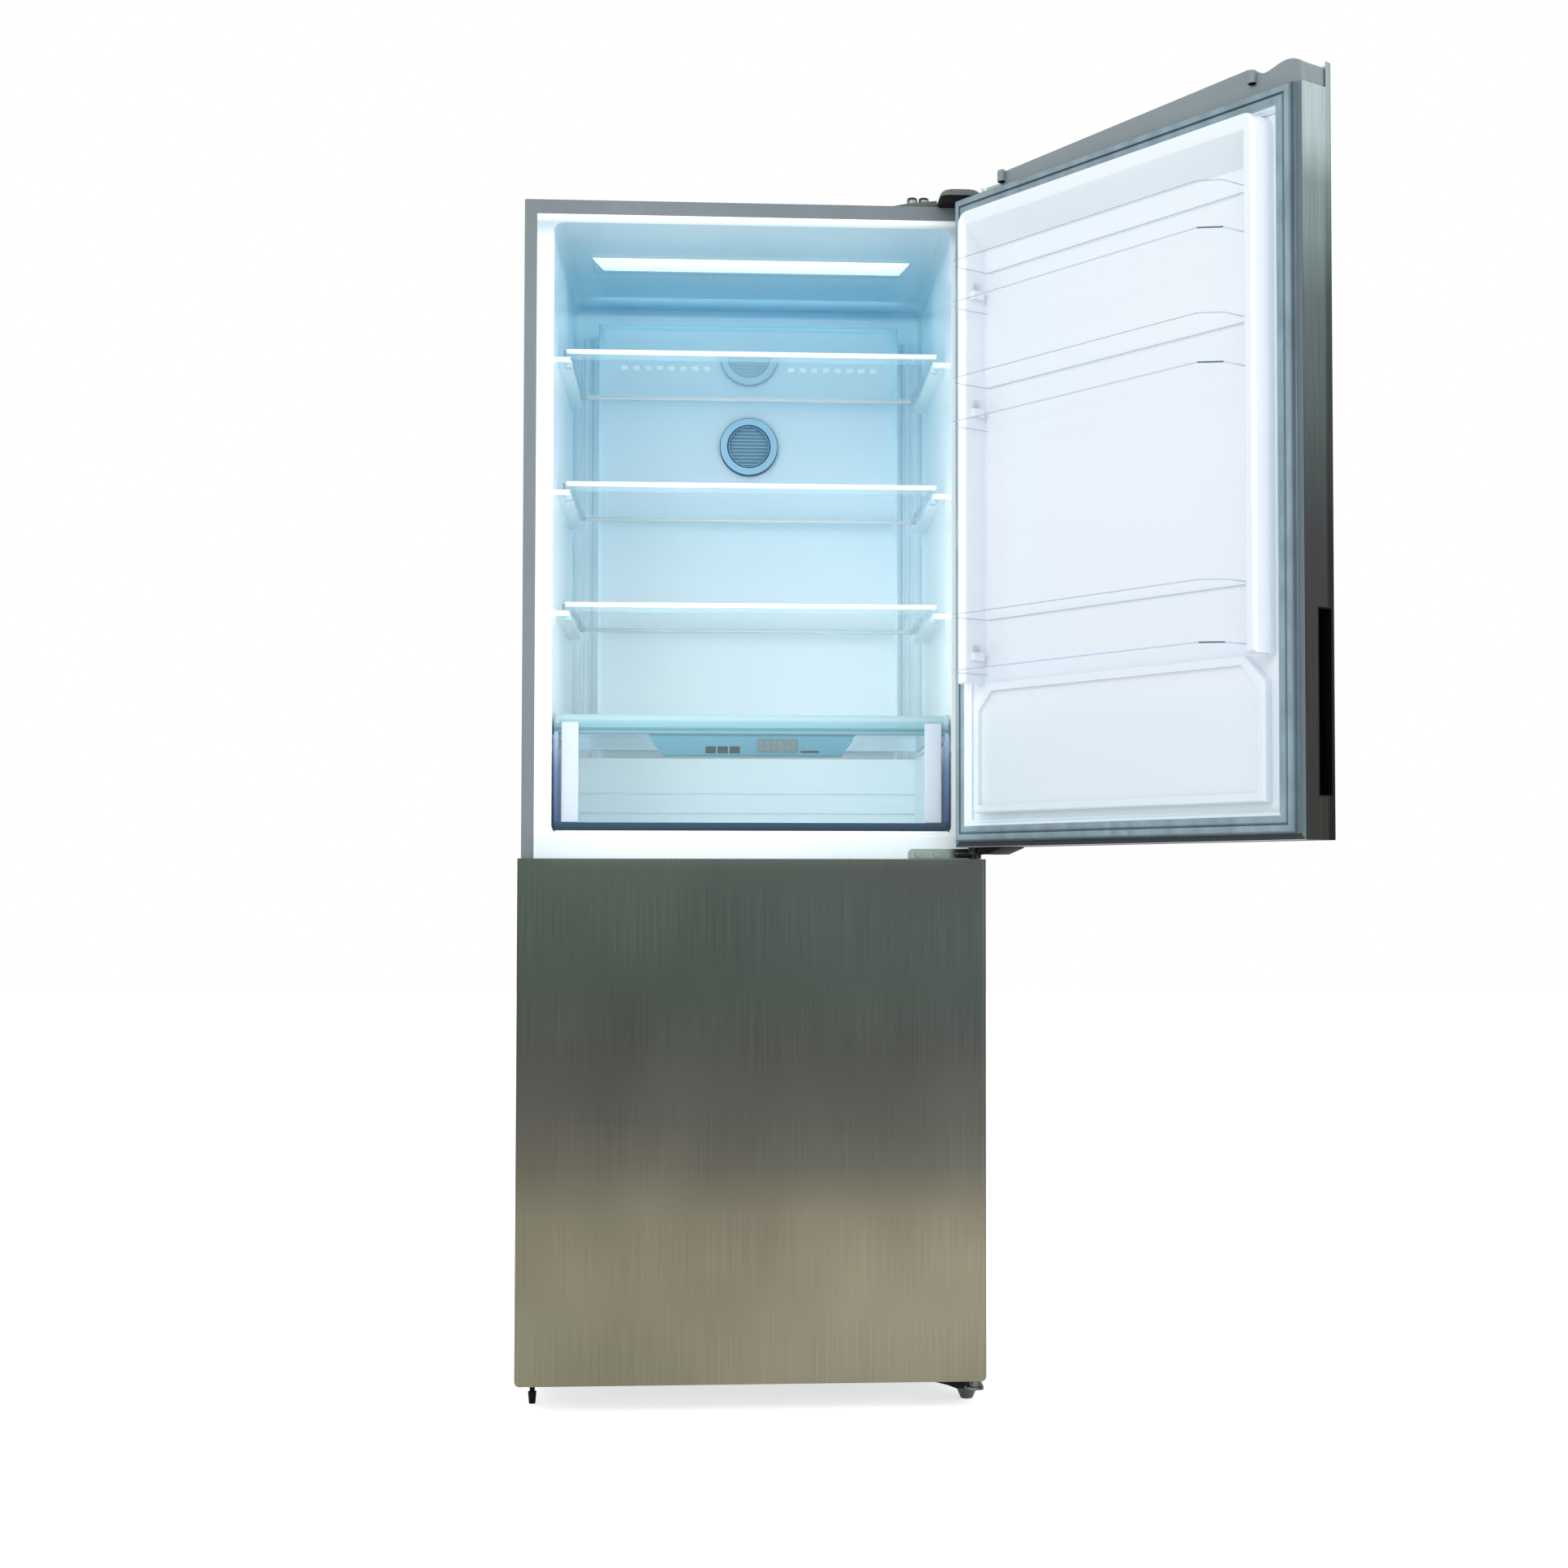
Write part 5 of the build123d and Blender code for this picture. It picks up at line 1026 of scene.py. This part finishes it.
def buildCrisper(c):
    low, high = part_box("crisper_drawer")
    half, seam, top = c["half"], c["seam"], high.z - c["edgeDrop"]
    bm = bmesh.new()
    inner = roundedU(half - c["edge"], low.z + c["bottom"], top, c["corner"] / 3)
    addPlate(bm, [(-half, top), (-half, high.z), (half, high.z), (half, top)] + inner[::-1],
             1, low.y, low.y + c["panel"])
    finishPiece(bm, "crisperFront", "crisper_drawer", ("crisperFront",), ("crisper_drawer",))

    bm = bmesh.new()
    outer = roundedU(half, low.z, top - seam, c["corner"])
    inner = roundedU(half - c["edge"] + seam, low.z + c["bottom"] - seam, top - seam, c["corner"] / 3)
    addPlate(bm, outer + inner[::-1], 1, low.y, low.y + c["edgeDepth"])
    finishPiece(bm, "crisperFrontEdge", "crisper_drawer", ("crisperEdge",))

    bm = bmesh.new()
    near = low.y + c["panel"] + 2 * seam
    blockPair(bm, c["cheek"], (near, near + c["cheekDepth"]),
              (low.z + c["cheekLift"], high.z - c["cheekDrop"]), 1.5 * mm)
    finishPiece(bm, "crisperCheeks", "crisper_drawer", ("cheekWhite",))

    bm = bmesh.new()
    front, back = near + c["tubFront"], high.y
    x, w = c["tubHalf"], c["wall"]
    walls = [(-x, front), (-x, back), (x, back), (x, front), (x - w, front), (x - w, back - w),
             (-x + w, back - w), (-x + w, front)]
    addPlate(bm, walls, 2, low.z + w, c["tubTop"])
    roundedBlock(bm, (-x, front, low.z), (x, back, low.z + w), 1 * mm)
    for share in c["ribLevels"]:
        level = low.z + share * (c["tubTop"] - low.z)
        roundedBlock(bm, (-x + w, back - w - c["rib"], level),
                     (x - w, back - w + c["ribSunk"], level + c["rib"]), 1 * mm)
    finishPiece(bm, "crisperTub", "crisper_drawer", ("frostWhite",))


buildCrisper(crisper)

crisperCover = {
    "bar": 12 * mm,
    "skirt": 22 * mm,  # how far the bar reaches below the glass
    "grooves": ((1014.5, 1016.5), (1020.5, 1024)),  # lower and upper edge, mm above the floor
    "grooveDepth": 1.2 * mm, "side": 15 * mm, "seam": 0.1 * mm, "hoodLap": 2 * mm,
    "hoodTop": 154 * mm, "hoodLow": 141 * mm, "hoodFlare": 12 * mm, "hoodFront": 22 * mm,
    "hoodDepth": 22 * mm, "hoodCorner": 7 * mm, "hoodBottom": 980 * mm, "hoodSteps": 5,
    "slotDepth": (-0.25 * mm, 2 * mm),  # in front of the hood and into it
    # left and right end, lower and upper edge and rounding, mm: three cells and a line
    "slots": [(-72 + at * 55 / 3, -74 + (at + 1) * 55 / 3, (984.5, 996), 0.8) for at in range(3)]
             + [(74, 103, (986, 989.5), 0.6)],
    "sliderGap": 0.3 * mm,  # clear of the slots that the slider passes
    "ribs": 6, "ribShare": (0.12, 0.88), "ribIn": 0.6 * mm, "ribDepth": 2 * mm,
    "clip": (8 * mm, 10 * mm, 15 * mm), "clipIn": 1 * mm, "clipOut": 2 * mm, "clipRise": 1.5 * mm,
}


def hoodOutline(c, top):
    # flared at the top, rounded at its two lower corners
    turns = [math.pi / 2 * at / c["hoodSteps"] for at in range(c["hoodSteps"] + 1)]
    half = [(c["hoodTop"] + c["hoodFlare"] * (1 - math.sin(turn)),
             top - c["hoodFlare"] * (1 - math.cos(turn))) for turn in turns]
    half += [(c["hoodLow"] - c["hoodCorner"] * (1 - math.cos(turn)),
              c["hoodBottom"] + c["hoodCorner"] * (1 - math.sin(turn))) for turn in turns]
    return [(-x, z) for x, z in half] + half[::-1]


def buildCover(c):
    low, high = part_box("crisper_cover_frame")
    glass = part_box("crisper_cover_glass")[0].z
    half, near, far, bottom = high.x, low.y, low.y + c["bar"], glass - c["skirt"]
    front = [(near, high.z), (far, high.z), (far, bottom), (near, bottom)]
    for below, above in c["grooves"]:
        front += [(near, below * mm), (near + c["grooveDepth"], below * mm),
                  (near + c["grooveDepth"], above * mm), (near, above * mm)]
    bm = bmesh.new()
    addPlate(bm, front, 0, -half, half)
    made = len(bm.faces)
    blockPair(bm, (half - c["side"], half), (far + c["seam"], high.y - c["bar"]),
              (bottom, glass - c["seam"]), 1 * mm)
    roundedBlock(bm, (-half, high.y - c["bar"], bottom), high, 1.5 * mm)
    paint(bm, 1, made)
    addPlate(bm, hoodOutline(c, bottom + c["hoodLap"]), 1, c["hoodFront"], c["hoodFront"] + c["hoodDepth"])
    finishPiece(bm, "crisperCoverFrame", "cabinet", ("tealTrim", "coverPale"),
                ("crisper_cover_frame",))

    # dark teal blocks on the hood in place of open slots: painted shade inside the slots
    bm = bmesh.new()
    front, back = [c["hoodFront"] + depth for depth in c["slotDepth"]]
    for left, right, height, radius in c["slots"]:
        roundedBlock(bm, (left * mm, front, height[0] * mm), (right * mm, back, height[1] * mm), radius * mm)
    finishPiece(bm, "crisperVentSlots", "cabinet", ("deepTeal",))

    bm = bmesh.new()
    width, depth, height = c["clip"]
    outer = half - c["clipIn"]
    blockPair(bm, (outer - width, outer), (near - c["clipOut"], near + depth),
              (high.z - height, high.z + c["clipRise"]), 2 * mm)
    finishPiece(bm, "crisperCoverClips", "cabinet", ("clipGrey",))


def buildSlider(c):
    low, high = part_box("humidity_slider")
    bm = bmesh.new()
    roundedBlock(bm, (low.x, low.y + c["ribDepth"] / 2, low.z),
                 (high.x, c["hoodFront"] - c["sliderGap"], high.z), 0.6 * mm)
    pitch = (high.x - low.x) / c["ribs"]
    for number in range(c["ribs"]):
        left, right = [low.x + (number + share) * pitch for share in c["ribShare"]]
        roundedBlock(bm, (left, low.y, low.z + c["ribIn"]),
                     (right, low.y + c["ribDepth"], high.z - c["ribIn"]), 0.9 * mm)
    finishPiece(bm, "humiditySliderThumb", "humidity_slider", ("sliderGrey",),
                ("humidity_slider",))


buildCover(crisperCover)
buildSlider(crisperCover)
print("crisper")


# filter cover and air vents

filterDisc = {
    # radius and how far in front of the panel, in mm, and the colour of the stretch that follows
    # colour 2, the ring's inner wall and the grille's backing, is darker than the bars: partly its own colour and
    # partly painted shade between the bars
    "profile": ((50, 0.3, 1), (50, 9, 1), (48.8, 11.4, 0), (46.5, 12, 0), (37.5, 12, 1), (36.6, 11, 1),
                (34.8, 11, 0), (33.9, 11.6, 0), (33.5, 10.5, 2), (33.5, 3, 2), (0, 3, 2)),
    "steps": 96,
    "slack": (0.3, 0.1),  # inwards and outwards, mm, when a face is matched to its stretch
    "bars": 11,
    "barReach": 33.2 * mm,  # from the middle to the ring
    "barEnd": 0.5 * mm, "barHeight": 2 * mm,
    "barDepth": (5.2 * mm, 2.8 * mm),  # in front of the panel
}


def buildDisc(d):
    low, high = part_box("filter_cover")
    x, z = (low.x + high.x) / 2, (low.z + high.z) / 2
    panel = place("air_duct_panel", 1, 0)
    bm = bmesh.new()
    addTurned(bm, (x, panel, z), [(radius, -out) for radius, out, shade in d["profile"]], 1, d["steps"])
    inner, outer = d["slack"]
    for face in bm.faces:
        middle = face.calc_center_median()
        radius, out = math.hypot(middle.x - x, middle.z - z) / mm, (panel - middle.y) / mm
        for (r1, o1, shade), (r2, o2, after) in zip(d["profile"], d["profile"][1:]):
            if (min(r1, r2) - inner <= radius <= max(r1, r2) + outer
                    and min(o1, o2) - outer <= out <= max(o1, o2) + outer):
                face.material_index = shade
                break
    made = len(bm.faces)
    reach, half = d["barReach"], d["barHeight"] / 2
    near, far = [panel - out for out in d["barDepth"]]
    for number in range(d["bars"]):
        offset = -reach + (number + 0.5) * 2 * reach / d["bars"]
        length = math.sqrt(reach ** 2 - offset ** 2) - d["barEnd"]
        roundedBlock(bm, (x - length, near, z + offset - half), (x + length, far, z + offset + half),
                     0.5 * mm, 2)
    paint(bm, 3, made)
    finishPiece(bm, "filterCoverFace", "filter_cover",
                ("discPale", "discLine", "discGrille", "discBar"), ("filter_cover",))


buildDisc(filterDisc)

airVent = {
    "first": 73 * mm, "last": 215 * mm, "count": 8, "width": 12 * mm, "height": 9 * mm,
    "drop": 118 * mm,  # below the ceiling
    "depth": (-2.5 * mm, 1 * mm),  # in front of the panel and into it
}


# white lips over the vent holes, far whiter than the shaded panel round them: painted highlights at the vents
def buildVents(v):
    panel = place("air_duct_panel", 1, 0)
    level = fridge["ceiling"] - v["drop"]
    pitch = (v["last"] - v["first"]) / (v["count"] - 1)
    wide, tall = v["width"] / 2, v["height"] / 2
    bm = bmesh.new()
    for number in range(v["count"]):
        x = v["first"] + number * pitch
        blockPair(bm, (x - wide, x + wide), [panel + depth for depth in v["depth"]],
                  (level - tall, level + tall), 2 * mm)
    finishPiece(bm, "airVentLips", "cabinet", ("ventWhite",))


buildVents(airVent)
print("duct panel fittings")


# hinges

hingeCover = {
    "foot": (4.2 * mm, 6 * mm),  # upright part under the dome, above the hem
    "hem": (1 * mm, 2.2 * mm, 3 * mm),  # thickness, drop and back of the front's lower part
    "hemTop": 4.3 * mm,
    "skirt": 6 * mm,  # front and height of the part behind the arm
    # scale and rise in mm, then radius and height in mm
    "dome": ((0.985, 2.4), (0.93, 3.2), (0.88, 2.4), (0.8, 1.6), (0.7, 0.9), (0.5, 0.4)),
    "boltProfile": ((8, 0), (8, 11), (7.5, 12.6), (6, 13.7), (3, 14.3), (0, 14.4)),
    "corner": 14 * mm, "boltPlaces": ((247, 31), (265, 31)), "boltLift": 8 * mm,
    # cover of the hinge plate under the bolts: height above the cabinet across it, in mm, and depth
    "plateOutline": ((210, 0.4), (238, 6), (262, 9), (283.5, 11), (283.5, 0.4)),
    "plateDepth": (4 * mm, 62 * mm),
}


def buildHingeCover(h):
    low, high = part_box("top_hinge_cover")
    start, foot = [low.z + lift for lift in h["foot"]]
    bm = bmesh.new()
    addPlate(bm, [(low.x, low.y), (high.x, low.y), (high.x, high.y), (low.x, high.y)], 2, start, foot)
    soften(bm, uprights(bm.verts, 0), h["corner"], 6)
    lid = max(bm.faces, key=lambda face: face.calc_center_median().z)
    centre = lid.calc_center_median()
    for share, rise in h["dome"]:
        lid = pushOut(bm, lid, (0, 0, rise * mm))
        bmesh.ops.scale(bm, vec=(share, share, 1), space=Matrix.Translation(-centre), verts=lid.verts)
    bm.normal_update()
    # the flat faces below the foot are painted black: painted shadow under the cover
    for face in bm.faces:
        if abs(face.normal.z) > 0.9 and face.calc_center_median().z < foot:
            face.material_index = 1
    # lower part of the front, which hangs before the cabinet's top edge, all painted black: painted shadow under
    # the cover
    thick, drop, back = h["hem"]
    made = len(bm.faces)
    hem = addBlock(bm, (low.x + thick, low.y + thick, low.z - drop),
                   (high.x - thick, -back, low.z + h["hemTop"]))
    soften(bm, uprights(hem, low.y + 2 * thick), h["corner"], 6)
    paint(bm, 1, made)
    # skirt that reaches the cabinet behind the arm
    roundedBlock(bm, (low.x, h["skirt"], low.z), (high.x, high.y, low.z + h["skirt"]), 1 * mm)
    finishPiece(bm, "topHingeCoverShell", "cabinet", ("hingeGrey", "blackPlastic"),
                ("top_hinge_cover",), angle=50)

    bm = bmesh.new()
    slope = [(x * mm, cabinet["top"] + rise * mm) for x, rise in h["plateOutline"]]
    addPlate(bm, slope, 1, *h["plateDepth"])
    soften(bm, edgesOf(bm.verts), 1 * mm, 2)
    finishPiece(bm, "topHingePlateCover", "cabinet", ("hingeGrey",))

    bm = bmesh.new()
    for x, y in h["boltPlaces"]:
        addTurned(bm, (x * mm, y * mm, cabinet["top"] + h["boltLift"]), h["boltProfile"], 2)
    finishPiece(bm, "topHingeBoltHeads", "cabinet", ("boltGrey",))


buildHingeCover(hingeCover)

underDoor = {
    "across": (250 * mm, 307 * mm), # with the door shut, beside the hinge axis
    "depth": (-62 * mm, -18 * mm), "drop": 11 * mm, "tip": 1.5 * mm, "taper": 34 * mm,
}


def buildDoorStop(u):
    # dark closing stop under the fridge door, beside the hinge, tapered to its free end
    bottom = doorHeights["fridge"][0]
    near, far = u["across"]
    bm = bmesh.new()
    outline = [(near, bottom), (far, bottom), (far, bottom - u["drop"]),
               (near + u["taper"], bottom - u["drop"]), (near, bottom - u["tip"])]
    addPlate(bm, outline, 1, *u["depth"])
    soften(bm, edgesOf(bm.verts), 0.8 * mm, 2)
    finishPiece(bm, "doorClosingStop", "fridge_door", ("blackPlastic",), opened=True)


buildDoorStop(underDoor)
print("hinges")


# linings and rear

rearSheet = {
    "ribs": (-240 * mm, -120 * mm, 0, 120 * mm, 240 * mm), "half": 11 * mm,
    "ends": (330 * mm, 1740 * mm), "proud": 2.4 * mm, "sunk": 0.5 * mm, "screwIn": 14 * mm,
    "screwSunk": 0.1 * mm, "screwLevels": (262, 560, 860, 1160, 1460, 1806),
    "screwRows": (-210, -70, 70, 210),
    "screwProfile": ((4.6, 0), (4.6, 0.9), (3.9, 1.9), (2.2, 2.6), (1.1, 2.6), (0.9, 1.6), (0, 1.6)),
}


def buildRear(r):
    # pressed stiffening ribs and pan head screws of the rear sheet
    low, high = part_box("rear_panel")
    bm = bmesh.new()
    for x in r["ribs"]:
        addRib(bm, x, high.y, r)
    finishPiece(bm, "rearPanelRibs", "cabinet", ("galvanised",))

    bm = bmesh.new()
    side = high.x - r["screwIn"]
    levels = (low.z + r["screwIn"], high.z - r["screwIn"], low.z - r["screwIn"])
    places = [(x, level * mm) for x in (-side, side) for level in r["screwLevels"]]
    places += [(x * mm, level) for x in r["screwRows"] for level in levels]
    for x, z in places:
        addTurned(bm, (x, high.y - r["screwSunk"], z), r["screwProfile"], 1, 20)
    finishPiece(bm, "rearPanelScrews", "cabinet", ("zinc",))


buildRear(rearSheet)

machineCover = {
    "slots": 16, "pitch": 34 * mm, "width": 22 * mm, "height": 6 * mm,
    "levels": (150 * mm, 170 * mm, 190 * mm), "sunk": 0.4 * mm, "lip": 2.6 * mm,
    "lap": 2 * mm,  # how far the hood starts above its slot
    "over": 2.2 * mm, "sheet": 1.6 * mm,
}


def buildLouvres(m):
    # a pressed hood over each air slot of the machine room cover
    face = place("machine_room_cover", 1, 1)
    root, out, sheet = face - m["sunk"], face + m["lip"], m["sheet"]
    bm = bmesh.new()
    for level in m["levels"]:
        top = level + m["height"] + m["lap"]
        edge = top - m["over"] - sheet
        profile = [(root, top), (face + m["lip"] * 0.6, top - sheet / 2), (out, edge),
                   (out - sheet / 2, edge), (root, top - sheet)]
        for number in range(m["slots"]):
            x = (number - m["slots"] / 2) * m["pitch"] + (m["pitch"] - m["width"]) / 2
            addPlate(bm, profile, 0, x, x + m["width"])
    finishPiece(bm, "machineRoomLouvres", "cabinet", ("galvanised",))


buildLouvres(machineCover)

linerRib = {
    "places": (-290 * mm, -275 * mm, 275 * mm, 290 * mm), "ends": (900 * mm, 1745 * mm),
    "half": 3 * mm,
    "proud": -3 * mm,  # towards the front
    "sunk": 0.3 * mm,
}


def buildLinerRibs(r):
    # half round ribs drawn into the liner's rear wall, beside the duct panel
    bm = bmesh.new()
    for x in r["places"]:
        addRib(bm, x, fridge["rear"], r)
    finishPiece(bm, "linerRearRibs", "cabinet", ("liner",))


buildLinerRibs(linerRib)
print("linings and rear")


# end

print("done")
